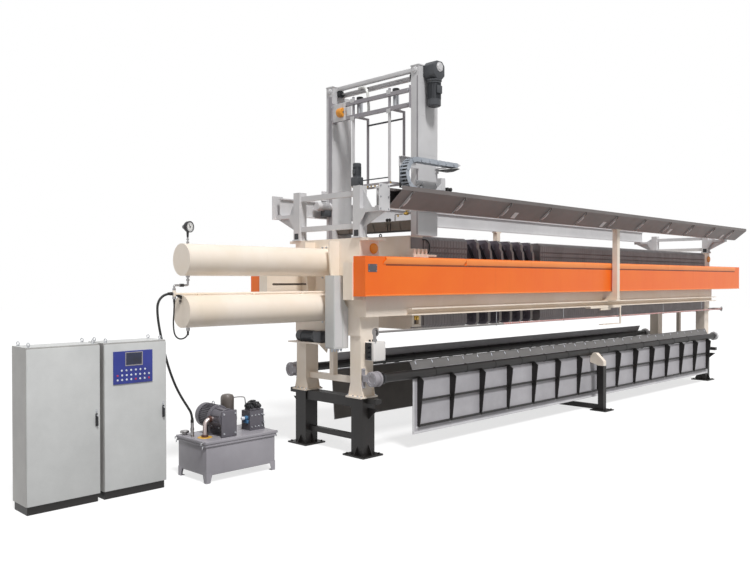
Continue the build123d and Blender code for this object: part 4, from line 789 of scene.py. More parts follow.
addRod(bm, (port.x, port.y, lidTop + 0.03), (0, 0, 0.032), 0.0255, sides=6)
addPiece("lidFittings", bm, "drawnSteel")

# Valve manifold: flared block, solenoids, hand valve
low, high = localBox("unit_valves")
blockTop = high.z - 0.14
addPrism(bm, [(low.x, low.y, lidTop), (high.x, low.y, lidTop), (high.x - 0.012, low.y, lidTop + 0.03),
    (high.x - 0.03, low.y, blockTop - 0.05), (high.x - 0.03, low.y, blockTop), (low.x, low.y, blockTop)],
    (0, high.y - low.y, 0))
addBox(bm, (high.x - 0.034, low.y + 0.03, blockTop - 0.06), (high.x - 0.002, low.y + 0.11, blockTop + 0.01),
    0.006, steps=2)
addBox(bm, (low.x + 0.03, low.y + 0.03, blockTop), (high.x - 0.06, high.y - 0.03, blockTop + 0.035), 0.005)
addPiece("valveManifold", bm, "unitEnamel", replaces="unit_valves")
for x, z, reach in ((low.x + 0.055, 0.055, 0.085), (low.x + 0.125, 0.085, 0.11),
        (low.x + 0.185, 0.055, 0.085)):
    addLathe(bm, [(0, reach), (0.02, reach), (0.026, reach - 0.006), (0.026, reach - 0.03),
        (0.038, reach - 0.034), (0.038, -reach + 0.034), (0.026, -reach + 0.03), (0.026, -reach + 0.006),
        (0, -reach)], (x, high.y - 0.1, blockTop + z), toNear, steps=20)
    addBox(bm, (x - 0.03, high.y - 0.13, blockTop + z - 0.02),
        (x + 0.03, high.y - 0.07, min(blockTop + z + 0.052, high.z)), 0.005)
addPiece("solenoids", bm, "blackNylon")
valveZ = lidTop + 0.175
addRod(bm, (low.x, low.y + 0.07, valveZ), (-0.045, 0, 0), 0.03, sides=24)
addBox(bm, (low.x - 0.03, low.y + 0.03, valveZ - 0.075), (low.x + 0.002, low.y + 0.12, valveZ - 0.03), 0.006)
addPiece("handValve", bm, "valveBlue")
addLathe(bm, [(0, 0.055), (0.018, 0.052), (0.025, 0.04), (0.025, 0.01), (0.016, 0)],
    (low.x - 0.043, low.y + 0.07, valveZ), toRear, steps=20)
addPiece("handValveKnob", bm, "keyWhite")
for sideX in (0.03, 0.09, 0.15, 0.205):
    for z in (0.05, 0.21):
        addBolt(bm, (low.x + sideX, low.y, lidTop + z), toNear, 0.018)
for z in (0.1, 0.2):
    addRod(bm, (high.x - 0.04, low.y, lidTop + z), (0, -0.03, 0), 0.013, sides=6)
addPiece("manifoldPlugs", bm, "zincSteel")
print("hydraulic unit dressed")

# Filter plates: moulded polypropylene with a sealing rim, a chamber full of pips, ports and a lifting bracket
plate = {"half": 0.75, "low": 1.86, "high": 3.36, "chamfer": 0.06, "rim": 0.085, "recess": 0.014,
    "pipRadius": 0.014, "pipPitch": 0.105, "pipCount": 11, "portInset": 0.115, "portRadius": 0.034,
    "feedRadius": 0.08, "edge": 0.006, "gussetTop": 3.215, "strapShadeWide": 0.055,
    "outletHeights": (3.181, 3.095)}


def plateOutline(x):
    half, cut = plate["half"], plate["chamfer"]
    low, high = plate["low"], plate["high"]
    return [(x, -half + cut, low), (x, half - cut, low), (x, half, low + cut), (x, half, high - cut),
        (x, half - cut, high), (x, -half + cut, high), (x, -half, high - cut), (x, -half, low + cut)]


# The brackets that rest on the side beams, with a web up the plate's edge
def addBrackets(bm, start, end, reach, low, high, web):
    half = plate["half"]
    for side in (-1, 1):
        outline = [(start, side * (half - 0.004), low), (start, side * reach, low),
            (start, side * reach, high)]
        if web:
            outline += [(start, side * (half + 0.06), high + 0.13),
                (start, side * (half + 0.04), high + 0.32),
                (start, side * (half + 0.034), plate["gussetTop"] - 0.06)]
        outline.append((start, side * (half - 0.004), plate["gussetTop"] if web else high + 0.1))
        addPrism(bm, outline, (end - start, 0, 0))


def addPlate(bm, start, end):
    verts = addPrism(bm, plateOutline(start), (end - start, 0, 0))
    edges = list({edge for vert in verts for edge in vert.link_edges})
    bmesh.ops.bevel(bm, geom=edges, offset=plate["edge"], offset_type="OFFSET", affect="EDGES", segments=1,
        profile=0.5, material=-1)


# Drilled filtrate outlets on both edges of a plate
def addOutlets(bm, middle):
    for side in (-1, 1):
        for height in plate["outletHeights"]:
            seat = (middle, side * (plate["half"] - 0.001), height)
            addLathe(bm, [(0, 0.001), (0.011, 0.001), (0.012, 0.006), (0.017, 0.006), (0.018, 0)], seat,
                (0, side, 0), steps=10)


bracketReach = localBox("filter_plate_1")[1].y
bracketLow, bracketHigh = 2.64, 2.75
parted = 6
recess, pipRadius, pipPitch = plate["recess"], plate["pipRadius"], plate["pipPitch"]
feedRadius, portRadius = plate["feedRadius"], plate["portRadius"]
for index in range(1, parted + 1):
    node = f"filter_plate_{index}"
    low, high = localBox(node)
    verts = addPrism(bm, plateOutline(low.x), (high.x - low.x, 0, 0))
    bmesh.ops.recalc_face_normals(bm, faces=bm.faces[:])
    for way in (-1, 1):
        face = max((item for item in bm.faces if item.normal.x * way > 0.99),
            key=lambda item: item.calc_area())
        bmesh.ops.inset_region(bm, faces=[face], thickness=plate["rim"], depth=0)
        bmesh.ops.inset_region(bm, faces=[face], thickness=recess, depth=-recess)
    middle = (low.x + high.x) / 2
    centreZ = (plate["low"] + plate["high"]) / 2
    for way, plane in ((-1, low.x), (1, high.x)):
        floorX = plane - way * recess
        first = -(plate["pipCount"] - 1) / 2 * pipPitch
        pip = addRod(bm, (floorX, first, centreZ + first), (way * recess * 0.85, 0, 0), pipRadius,
            pipRadius * 0.6, sides=6)
        repeat(bm, pip, (0, pipPitch, 0), plate["pipCount"])
        row = [vert for vert in bm.verts if abs(vert.co.z - centreZ - first) < pipRadius * 1.1
            and abs(vert.co.x - floorX - way * recess * 0.42) < recess * 0.5 and abs(vert.co.y) < 0.6]
        repeat(bm, row, (0, 0, pipPitch), plate["pipCount"])
        addLathe(bm, [(feedRadius * 0.62, 0.003), (feedRadius * 0.64, recess), (feedRadius * 1.3, recess),
            (feedRadius * 1.45, 0)], (floorX, 0, centreZ), (way, 0, 0))
        for sideY in (-1, 1):
            for sideZ in (-1, 1):
                reach = plate["half"] - plate["portInset"]
                addLathe(bm, [(portRadius * 0.7, 0.002), (portRadius * 0.72, recess),
                    (portRadius * 1.5, recess), (portRadius * 1.7, 0)],
                    (floorX, sideY * reach, centreZ + sideZ * reach), (way, 0, 0), steps=20)
    addBrackets(bm, low.x + 0.006, high.x - 0.006, bracketReach, bracketLow, bracketHigh, True)
    bm.normal_update()
    for face in bm.faces:  # side edges are painted paler than the faces: painted light
        face.material_index = int(abs(face.normal.y) > 0.6 and abs(face.calc_center_median().y) > 0.7)
    addPiece(f"plate{index}", bm, ["platePolypropylene", "litEdgePolypropylene"], node,
        replaces=node)
    for side in (-1, 1):
        # Black strap that runs slanting from the bracket up the plate's face; its dark also stands as painted
        # shade of the bracket
        wide = plate["strapShadeWide"]
        addPrism(bm, [(low.x - 0.002, side * 0.53, 3.27), (low.x - 0.002, side * (0.53 + wide), 3.27),
            (low.x - 0.002, side * 0.748, 2.96), (low.x - 0.002, side * 0.748, 2.82),
            (low.x - 0.002, side * 0.7, 2.9)], (0.003, 0, 0))
    # Dark discs fill the feed holes: painted shade of the bores
    for way, plane in ((-1, low.x), (1, high.x)):
        addLathe(bm, [(0, 0.002), (feedRadius * 0.62, 0.002)], (plane - way * recess, 0, centreZ),
            (way, 0, 0))
    addOutlets(bm, middle)
    addPiece(f"plateStrapsAndShade{index}", bm, "darkPolypropylene", node)

pitch = 0.075
for node, pieceName, body in (("front_plate_pack", "frontPack", "front_plate_pack"),
        ("rear_plate_pack", "rearPack", "root")):
    low, high = localBox(node)
    count = round((high.x - low.x) / pitch)
    plates, dark = bmesh.new(), bmesh.new()
    addPlate(plates, low.x, low.x + pitch - 0.0004)
    addBrackets(plates, low.x + 0.009, low.x + pitch - 0.009, bracketReach, bracketLow, bracketHigh, False)
    addOutlets(dark, low.x + pitch / 2)
    bmesh.ops.recalc_face_normals(plates, faces=plates.faces[:])
    plates, dark = rowOf(plates, (pitch, 0, 0), count), rowOf(dark, (pitch, 0, 0), count)
    addPiece(pieceName, plates, "packPolypropylene", body, replaces=node, recalc=False)
    addPiece(pieceName + "Outlets", dark, "packPolypropylene", body)
print("filter plates moulded")

# Moving head: darker grey sheets on both its sides as painted shade, roller brackets on the beams, a lifting eye
# on top
headLow, headHigh = localBox("moving_head")
for spanZ in ((2.96, 3.33), (1.88, 2.08)):
    addBox(bm, (headLow.x + 0.02, -0.732, spanZ[0]), (headHigh.x - 0.004, -0.72, spanZ[1]), 0.003)
bothSides(bm)
addPiece("headSideShade", bm, "packPolypropylene", "moving_head")
roller = {"start": 0.905, "end": 1.225, "inner": -0.724, "outer": -0.895, "low": 2.965, "high": 3.145,
    "footEnd": 1.45, "footInner": -0.815}
steps = 4
lane = (roller["end"] - roller["start"]) / (2 * steps - 1)
addBox(bm, (roller["start"] - 0.02, roller["outer"], roller["low"]), (roller["end"] + 0.02, roller["inner"],
    roller["low"] + 0.095), 0.006)
for index in range(steps):  # teeth of the cast housing
    start = roller["start"] + 2 * lane * index
    addBox(bm, (start, roller["outer"] + 0.01, roller["low"] + 0.09),
        (start + lane, roller["inner"], roller["high"]), 0.008, steps=2)
    addRod(bm, (start + lane / 2, roller["outer"] + 0.012, roller["low"] + 0.045), (0, -0.024, 0), 0.014,
        sides=12)
addBox(bm, (roller["end"] - 0.02, roller["outer"] + 0.01, roller["low"] + 0.055),
    (roller["footEnd"], roller["footInner"], roller["low"] + 0.09), 0.006)
for x in (0.955, 1.12):
    addBox(bm, (x, -0.8, 1.93), (x + 0.045, -0.723, 2.08), 0.004)
addBox(bm, (0.95, -0.8, 1.905), (1.17, -0.723, 1.945), 0.005)
bothSides(bm)
addPiece("headRollerHousings", bm, "creamEnamel", "moving_head")
addBox(bm, (1.012, -0.805, 2.01), (1.112, -0.74, 2.082), 0.012, steps=3)
addRod(bm, (1.062, -0.823, 2.035), (0, 0.083, 0), 0.026, sides=6)
bothSides(bm)
addPiece("headGuideNuts", bm, "castBrass", "moving_head")
eyeX, headTop = 1.05, headHigh.z
addRing(bm, (eyeX, 0, headTop + 0.026), toFar, 0.024, 0.009)
addRod(bm, (eyeX, 0, headTop), (0, 0, 0.01), 0.03, sides=20)
addPiece("headEye", bm, "motorEnamel", "moving_head")

# Cable that loops from the head to the front plates
addTube(bm, [(1.27, -0.735, 3.3), (1.3, -0.75, 3.31), (1.36, -0.765, 3.29), (1.4, -0.775, 3.23),
    (1.4, -0.775, 3.14), (1.37, -0.77, 3.08), (1.31, -0.755, 3.05), (1.27, -0.735, 3.045)], 0.011)
addPiece("headCable", bm, "hoseRubber", "moving_head")
print("moving head fitted")

# Side covers: a rolled top strip with joints in a paler orange as painted light, a brown line under it as
# painted shade, a plain hatch plate and folded edges
cover = {"skin": 1.05, "stripStart": 0.1, "stripEnd": 13.72, "stripLow": 2.887, "stripHigh": 2.992,
    "joint": 1.9, "gap": 0.005, "shadeLineLow": 2.866, "shadeLineHigh": 2.884, "bulge": 0.014, "foldTall": 0.022}
coverLow, coverHigh = localBox("beam_covers")
skin = cover["skin"]
start = cover["stripStart"]
while start < cover["stripEnd"]:
    end = min(start + cover["joint"], cover["stripEnd"])
    lean = 0.06 if start == cover["stripStart"] else 0
    bulge = cover["bulge"]
    outline = [(start - lean, -skin + 0.002, cover["stripLow"]),
        (start - lean, -skin - bulge * 0.6, cover["stripLow"] + 0.004),
        (start - lean, -skin - bulge, cover["stripLow"] + 0.02),
        (start, -skin - bulge, cover["stripHigh"] - 0.03),
        (start, -skin - bulge * 0.6, cover["stripHigh"] - 0.008),
        (start, -skin + 0.01, cover["stripHigh"] + 0.01), (start, -skin + 0.01, cover["stripLow"])]
    addPrism(bm, outline, (end - start - cover["gap"], 0, 0))
    start = end
addBox(bm, (coverLow.x + 0.5, -skin - 0.006, coverLow.z + 0.001),
    (coverHigh.x, -skin + 0.001, coverLow.z + cover["foldTall"]), 0.002)
addLathe(bm, [(0, 0.014), (0.04, 0.012), (0.052, 0.004), (0.052, 0)],
    (cover["stripEnd"] - 0.01, -skin, (cover["stripLow"] + cover["stripHigh"]) / 2), toNear, steps=24)
bothSides(bm)
# The strips, the fold and the end cap take the paler orange: painted light
addPiece("coverStrips", bm, "orangeTopEnamel")
# A brown line under the strips: painted shade below their rolled edge
addBox(bm, (cover["stripStart"], -skin - 0.003, cover["shadeLineLow"]),
    (cover["stripEnd"], -skin + 0.001, cover["shadeLineHigh"]))
bothSides(bm)
addPiece("coverShadeLines", bm, "brownEnamel")
addBox(bm, (-0.272, -skin - 0.004, 2.767), (-0.088, -skin + 0.001, 2.884), 0.002)
bothSides(bm)
addPiece("coverHatches", bm, "unitEnamel")
for x in (-0.256, -0.104):
    for z in (2.783, 2.868):
        addBolt(bm, (x, -skin - 0.004, z), toNear, 0.01)
bothSides(bm)
addPiece("coverScrews", bm, "zincSteel")

# Round orange caps over the lifting holes of the thrust frame and the feed head
for x, z in ((0.135, 3.126), (12.7, 3.2)):
    addLathe(bm, [(0, 0.032), (0.06, 0.031), (0.076, 0.024), (0.08, 0.012), (0.08, 0)], (x, -0.75, z), toNear)
bothSides(bm)
addPiece("liftingCaps", bm, "amberEnamel")
print("covers trimmed")

# Cylinder end: gauge, rigid pipes with bends and nuts, hose ends, the long return pipe, a plug
port = {"x": -2.605, "teeX": -2.81, "teeZ": 2.47, "dropZ": 2.58, "upperLow": 2.705, "pipe": 0.014,
    "bend": 0.05}
gauge = {"place": (-2.605, 0, 3.357), "facing": (0.29, -0.957, 0), "lean": 0.55}
gaugePlace, gaugeFacing = Vector(gauge["place"]), Vector(gauge["facing"]).normalized()
addLathe(bm, [(0, -0.075), (0.026, -0.072), (0.036, -0.05), (0.066, -0.012), (0.073, 0), (0.073, 0.03),
    (0.076, 0.032), (0.076, 0.046), (0.07, 0.05), (0.065, 0.046), (0.065, 0.04)], gaugePlace, gaugeFacing,
    steps=40)
addRod(bm, (port["x"], 0, 3.215), (0, 0, 0.085), 0.013, 0.018, sides=20)
addPiece("gaugeCase", bm, "blackNylon", replaces="pressure_gauge")
addLathe(bm, [(0, 0.041), (0.066, 0.041)], gaugePlace, gaugeFacing, steps=40)
makeDial(gaugePlace + gaugeFacing * 0.041 + datum)
addPiece("gaugeFace", bm, "gaugeDial")
across = gaugeFacing.cross(Vector((0, 0, 1)))
hub = gaugePlace + gaugeFacing * 0.043
addLathe(bm, [(0, 0.004), (0.011, 0.003), (0.012, 0)], hub, gaugeFacing, steps=16)
for reach in (0.05, -0.02):
    tip = hub + (across * sin(gauge["lean"]) + Vector((0, 0, cos(gauge["lean"])))) * reach
    addRod(bm, hub + gaugeFacing * 0.001, tip - hub, 0.004, 0.0015, sides=8)
addPiece("gaugePointer", bm, "blackNylon")

addRod(bm, (port["x"], 0, 3.128), (0, 0, 0.097), 0.009)
for z, radius in ((3.15, 0.019), (3.19, 0.016)):
    addRod(bm, (port["x"], 0, z - 0.012), (0, 0, 0.024), radius, sides=6)
x, teeX, dropZ, bend = port["x"], port["teeX"], port["dropZ"], port["bend"]
addTube(bm, [(x, 0, port["upperLow"]), (x, 0, dropZ + bend), (x, 0, dropZ + 0.006), (x - 0.01, 0, dropZ),
    (x - bend, 0, dropZ), (x - 0.1, 0, dropZ), (teeX + bend, 0, dropZ), (teeX + 0.01, 0, dropZ),
    (teeX, 0, dropZ - 0.006), (teeX, 0, dropZ - bend), (teeX, 0, port["teeZ"])], port["pipe"])
for z, radius in ((2.7, 0.026), (2.652, 0.022), (2, 0.026), (1.985, 0.022)):
    addRod(bm, (x, 0, z - 0.016), (0, 0, 0.028), radius, sides=6)
addRod(bm, (x, 0, 1.975), (0, 0, 0.045), 0.018)
addRod(bm, (teeX, 0, port["teeZ"] - 0.07), (0, 0, 0.03), 0.024, sides=6)
addRod(bm, (teeX, 0, port["teeZ"] + 0.045), (0, 0, 0.025), 0.022, sides=6)
addRod(bm, (teeX - 0.03, 0, port["teeZ"]), (0.012, 0, 0), 0.024, sides=6)
addPiece("rigidPipes", bm, "drawnSteel", replaces="cylinder_pipes")
addRod(bm, (x - 0.065, 0, dropZ), (-0.055, 0, 0), 0.021, sides=20)
addPrism(bm, [(teeX + 0.022, -0.012, 2.47), (-2.701, -0.012, 2.44), (-2.701, -0.012, 2.395),
    (teeX + 0.022, -0.012, 2.445)], (0, 0.024, 0))
for route in (hoses["pressureHose"]["route"], hoses["shortHose"]["route"]):
    for near, far in ((route[0], route[1]), (route[-1], route[-2])):
        start, away = Vector(near), (Vector(far) - Vector(near)).normalized()
        radius = 0.022 if route is hoses["pressureHose"]["route"] else 0.015
        addLathe(bm, [(radius, 0), (radius, 0.035), (radius * 0.85, 0.04), (radius * 0.85, 0.062)], start,
            away, steps=20)
addPiece("hoseFerrules", bm, "blackEnamel")
addLathe(bm, [(0, -0.046), (0.018, -0.044), (0.024, -0.03), (0.024, 0.03), (0.018, 0.044), (0, 0.046)],
    (teeX, 0, port["teeZ"]), toUp, steps=24)
addRod(bm, (teeX, 0, port["teeZ"]), (-0.026, 0, 0), 0.02)
addTube(bm, [(teeX + 0.01, 0, 2.466), (-2.72, 0, 2.464), (-1.5, 0, 2.4645), (-0.4, 0, 2.4645),
    (-0.152, 0, 2.4645)], 0.018)
for x in (-2.45, -1.55, -0.65):
    addBox(bm, (x - 0.02, -0.035, 2.444), (x + 0.02, 0.035, 2.474), 0.006)
addPiece("returnPipe", bm, "creamEnamel")
addRod(bm, (-2.702, 0.013, 2.372), (-0.014, 0, 0), 0.02, sides=6)
addRod(bm, (-2.712, 0.013, 2.372), (-0.014, 0, 0), 0.011)
addBox(bm, (-2.722, 0.004, 2.33), (-2.714, 0.022, 2.372), 0.003)
addRod(bm, (-0.92, 0.35, 2.585), (0.768, 0, 0), 0.016)
addPiece("bleedPlug", bm, "brownCapEnamel")

# Cylinder flanges on the thrust frame with their ring of bolts, bolts of the frame and its beams
flangeBack = 0.036
bolts = bmesh.new()
for z in (2.92, 2.23):
    addLathe(bm, [(0.214, 0), (0.258, 0), (0.258, 0.03), (0.25, flangeBack), (0.214, flangeBack)],
        (-0.15, 0, z), toRear, steps=48)
    addBoltRing(bolts, (-0.15 - flangeBack, 0, z), toRear, 0.236, 16, 0.024)
gusset = 0.01
for x in (-0.13, 0.13 - gusset):  # webs that stand on the column feet
    for side in (-1, 1):
        addPrism(bm, [(x, side * 0.75, 0.905), (x, side * 0.798, 0.905), (x, side * 0.75, 1.09)],
            (gusset, 0, 0))
        addPrism(bm, [(x, side * 0.52, 0.905), (x, side * 0.472, 0.905), (x, side * 0.52, 1.09)],
            (gusset, 0, 0))
addPiece("frameFlanges", bm, "creamEnamel")
for side in (-1, 1):
    for columnX in (-0.15, 0.15, 12.451, 12.751):
        for y in (0.49, 0.6, 0.7, 0.78):
            addBolt(bolts, (columnX, side * y, 0.905), toUp, 0.026)
    for z in (2.52, 2.78, 2.88):
        for x in (-0.245, -0.19):
            addBolt(bolts, (x, side * 0.8, z), (0, side, 0), 0.026)
addPiece("frameBolts", bolts, "zincSteel")

# Feed flange: raised face, its bolts and ribs behind it
bolts = bmesh.new()
feed = {"face": (12.971, 0, 2.61), "thick": 0.04, "boltCircle": 0.155, "bolts": 8, "across": 0.03}
feedFace = Vector(feed["face"])
addLathe(bm, [(0.062, 0.006), (0.11, 0.006), (0.112, 0)], feedFace, toFeed)
for seat, way in ((feedFace, 1), (feedFace - Vector((feed["thick"], 0, 0)), -1)):
    addBoltRing(bolts, seat, (way, 0, 0), feed["boltCircle"], feed["bolts"], feed["across"])
for index in range(4):
    web = addPrism(bm, [(12.781, -0.006, 0.1), (12.781, -0.006, 0.215), (12.925, -0.006, 0.128),
        (12.925, -0.006, 0.1)], (0, 0.012, 0))
    turnAbout(bm, web, (0, 0, feedFace.z), tau * (index + 0.5) / 4, "X")
addPiece("feedFlangeFace", bm, "creamEnamel")
addLathe(bm, [(0, 0.008), (0.06, 0.008), (0.064, 0.004)], feedFace, toFeed)
addPiece("feedBlank", bm, "sealRubber")
addPiece("feedBolts", bolts, "zincSteel")
print("cylinder end fitted")

# Tall box: one bent shell whose shoulder is rounded, a flat door, cable glands below
low, high = localBox("tall_box")
stepX, stepZ, corner = low.x + 0.18, 2.33, 0.15
outline = [(low.x, low.y, low.z), (low.x, low.y, high.z), (stepX, low.y, high.z),
    (stepX, low.y, stepZ + corner)]
for index in range(1, 7):
    turn = pi / 2 * index / 7
    outline.append((stepX + (high.x - stepX - 0.001) * (1 - cos(turn)), low.y,
        stepZ + corner * (1 - sin(turn)) - 0.1 * (index / 7)))
outline += [(high.x - 0.001, low.y, stepZ - 0.1), (high.x - 0.001, low.y, low.z)]
addPrism(bm, outline, (0, high.y - low.y, 0))
addBox(bm, (low.x - 0.004, low.y + 0.015, low.z + 0.02), (low.x + 0.002, high.y - 0.015, high.z - 0.02),
    0.003)
addPiece("tallShell", bm, "cabinetPowder", replaces="tall_box")
addBox(bm, (low.x + 0.02, low.y - 0.003, low.z + 0.02), (stepX - 0.02, low.y + 0.002, high.z - 0.02), 0.002)
addBox(bm, (stepX + 0.005, low.y - 0.003, low.z + 0.02), (high.x - 0.02, low.y + 0.002, stepZ - 0.15), 0.002)
addPiece("tallFlaps", bm, "greyEnamel")
for x in (low.x + 0.05, low.x + 0.11, low.x + 0.17, low.x + 0.23):
    addRod(bm, (x, -0.4, low.z), (0, 0, -0.028), 0.02, sides=6)
    addRod(bm, (x, -0.4, low.z - 0.024), (0, 0, -0.026), 0.014, sides=12)
addPiece("tallGlands", bm, "keyWhite")

# Terminal box with a stepped lid, corner screws, black cable glands and a black plate over its left side that is
# partly painted shade
low, high = localBox("terminal_box")
addBox(bm, (low.x + 0.004, low.y + 0.02, low.z + 0.004), (high.x - 0.004, high.y, high.z - 0.004), 0.012,
    steps=3)
addBox(bm, (low.x, low.y, low.z), (high.x, low.y + 0.045, high.z), 0.014, steps=3)
addPiece("terminalCase", bm, "boxPowder", replaces="terminal_box")
# Black gland plate over the left side: a real plate, and painted shade that darkens this side
addBox(bm, (low.x - 0.002, low.y + 0.055, low.z + 0.016), (low.x + 0.008, high.y - 0.012, high.z - 0.016),
    0.002)
for z in (low.z + 0.06, low.z + 0.13, low.z + 0.2):
    addRod(bm, (low.x + 0.006, low.y + 0.11, z), (-0.026, 0, 0), 0.018, sides=6)
    addRod(bm, (low.x - 0.018, low.y + 0.11, z), (-0.024, 0, 0), 0.012, sides=12)
for x in (low.x + 0.06, low.x + 0.13, low.x + 0.19):
    addRod(bm, (x, low.y + 0.15, high.z - 0.006), (0, 0, 0.03), 0.017, sides=6)
addPiece("terminalGlands", bm, "blackNylon")
for x in (low.x + 0.022, high.x - 0.022):
    for z in (low.z + 0.022, high.z - 0.022):
        addLathe(bm, [(0, 0.003), (0.007, 0.003), (0.008, 0)], (x, low.y, z), toNear, steps=12)
addPiece("terminalScrews", bm, "zincSteel")


# A foot or flange motor: finned body, fan cowl, terminal box; it points from its gearbox along one direction
def addFinnedMotor(bm, start, direction, radius, length, boxSide=None, fins=24):
    direction = Vector(direction).normalized()
    start = Vector(start)
    cowl = length * 0.28
    core = radius * 0.86
    addLathe(bm, [(0, 0), (radius, 0), (radius, length * 0.08), (core, length * 0.1),
        (core, length - cowl - 0.004), (radius * 0.98, length - cowl), (radius * 0.98, length - 0.014),
        (radius * 0.84, length), (0, length)], start, direction, steps=32)
    turned = Matrix.Translation(start) @ turnTo(direction)
    for index in range(fins):
        turn = tau * index / fins
        fin = addBox(bm, (core * 0.96, -0.003, length * 0.09), (radius, 0.003, length - cowl + 0.002))
        bmesh.ops.transform(bm, matrix=turned @ Matrix.Rotation(turn, 4, "Z"), verts=fin)
    if boxSide is not None:
        side = Vector(boxSide).normalized()
        middle = start + direction * (length * 0.36) + side * radius * 0.98
        other = direction.cross(side)
        half = radius * 0.5
        spread = [abs(direction[axis]) * half * 1.15 + abs(side[axis]) * radius * 0.16 + abs(other[axis])
            * half for axis in range(3)]
        addBox(bm, middle - Vector(spread), middle + Vector(spread), 0.01, steps=2)


low, high = localBox("shelf_motor")
gearX = (low.x + high.x) / 2
gearLow, gearHigh = Vector((gearX - 0.09, low.y, low.z)), Vector((gearX + 0.09, low.y + 0.18, low.z + 0.18))
addBox(bm, gearLow, gearHigh, 0.022, steps=3)
addLathe(bm, [(0, 0.01), (0.03, 0.01), (0.034, 0.006), (0.06, 0.006), (0.062, 0)],
    (gearX, low.y + 0.001, low.z + 0.09), toNear)
addFinnedMotor(bm, (gearX, low.y + 0.178, low.z + 0.09), toFar, 0.09, high.y - low.y - 0.178)
addPiece("shelfGearmotor", bm, "motorEnamel", replaces="shelf_motor")
for x in (gearX - 0.055, gearX + 0.055):
    for y in (low.y + 0.03, low.y + 0.15):
        addBolt(bm, (x, y, low.z - 0.018), toDown, 0.018)
addPrism(bm, [(-0.145, -0.05, 1.66), (-0.34, -0.05, 1.66), (-0.181, -0.05, 1.52)], (0, 0.008, 0))
addPiece("shelfWeb", bm, "creamEnamel")
print("boxes and shelf motor fitted")

# Door drives and bearings: plate with bolts, flanged disc, black coupling; greasers on the bearings
hinge = {"y": 0.95, "z": 1.18, "pipe": 0.07, "boltCircle": 0.088}
dark, bolts = bmesh.new(), bmesh.new()
driveLow, driveHigh = localBox("door_drives")
addLathe(bm, [(0, 0.012), (0.05, 0.012), (0.056, 0.004), (0.104, 0.004), (0.115, 0.012), (0.115, 0.05),
    (0.098, 0.056), (0.098, 0.11), (0.115, 0.116), (0.115, 0.149), (0.06, 0.15)],
    (driveLow.x, -hinge["y"], hinge["z"]), toFeed, steps=40)
addBox(bm, (driveLow.x, -0.86, hinge["z"] - 0.05), (driveHigh.x, -0.75, hinge["z"] + 0.05), 0.006)
addBox(bm, (driveLow.x, -0.78, 1.03), (-0.06, -0.75, 1.33), 0.006)
addBoltRing(bolts, (driveLow.x + 0.008, -hinge["y"], hinge["z"]), toRear, hinge["boltCircle"], 6, 0.018)
for x in (-0.105, -0.075):
    for z in (1.05, 1.31):
        addBolt(bolts, (x, -0.78, z), toNear, 0.018)
addLathe(dark, [(0.07, 0), (0.09, 0), (0.09, 0.046), (0.08, 0.05), (0.08, 0.062), (0.088, 0.064),
    (0.088, 0.1), (0.071, 0.1)], (0.031, -hinge["y"], hinge["z"]), toFeed, steps=32)
bothSides(bm)
addPiece("driveHousings", bm, "shadeGreyEnamel", replaces="door_drives")
bothSides(bolts)
addPiece("driveBolts", bolts, "zincSteel")
bearingLow, bearingHigh = localBox("door_bearings")
addLathe(bm, [(0.03, 0.004), (0.062, 0.004), (0.066, 0), (0.108, 0), (0.11, 0.006), (0.11, 0.084),
    (0.104, 0.09), (0.07, 0.09), (0.066, 0.084), (0, 0.084)], (bearingLow.x, -hinge["y"], hinge["z"]), toFeed,
    steps=40)
addBox(bm, (bearingLow.x, -0.86, hinge["z"] - 0.05), (bearingHigh.x, -0.75, hinge["z"] + 0.05), 0.006)
addRod(bm, (bearingLow.x + 0.045, -hinge["y"], hinge["z"] + 0.105), (0, 0, 0.02), 0.008)
addBoltRing(bm, (bearingHigh.x, -hinge["y"], hinge["z"]), toFeed, hinge["boltCircle"], 6, 0.018)
bothSides(bm)
addPiece("bearingHousings", bm, "greyEnamel", replaces="door_bearings")
for side, body in ((-1, "near_drip_door"), (1, "far_drip_door")):
    bm = dark.copy() if side < 0 else dark
    if side > 0:
        mirror(bm, bm.verts[:] + bm.faces[:])
    addPiece("coupling" + ("Near" if side < 0 else "Far"), bm, "blackNylon", body)

# Drip doors: edge strips, rib feet and a darker inner sheet of each leaf as painted shade, skin, lip and ticks
# of its flap, bands on the pipe
door = {"start": 0.8, "end": 12.1713, "tip": 0.94, "top": 0.075, "strip": 0.035, "proud": 0.005,
    "sheet": 0.003, "flap": 0.15, "flapDeg": 27, "leanDeg": 5, "bays": 14, "tick": 0.01, "tickTall": 0.05,
    "margin": 0.11}
flapTurn = radians(door["flapDeg"])


# From door metres (out from the leaf, up from the hinge) to the press's own metres
def placeDoor(bm, side):
    lean = radians(door["leanDeg"]) if side > 0 else 0
    turnAbout(bm, bm.verts[:], (0, -hinge["y"], hinge["z"]), lean, "X")
    if side > 0:
        mirror(bm, bm.verts[:] + bm.faces[:])


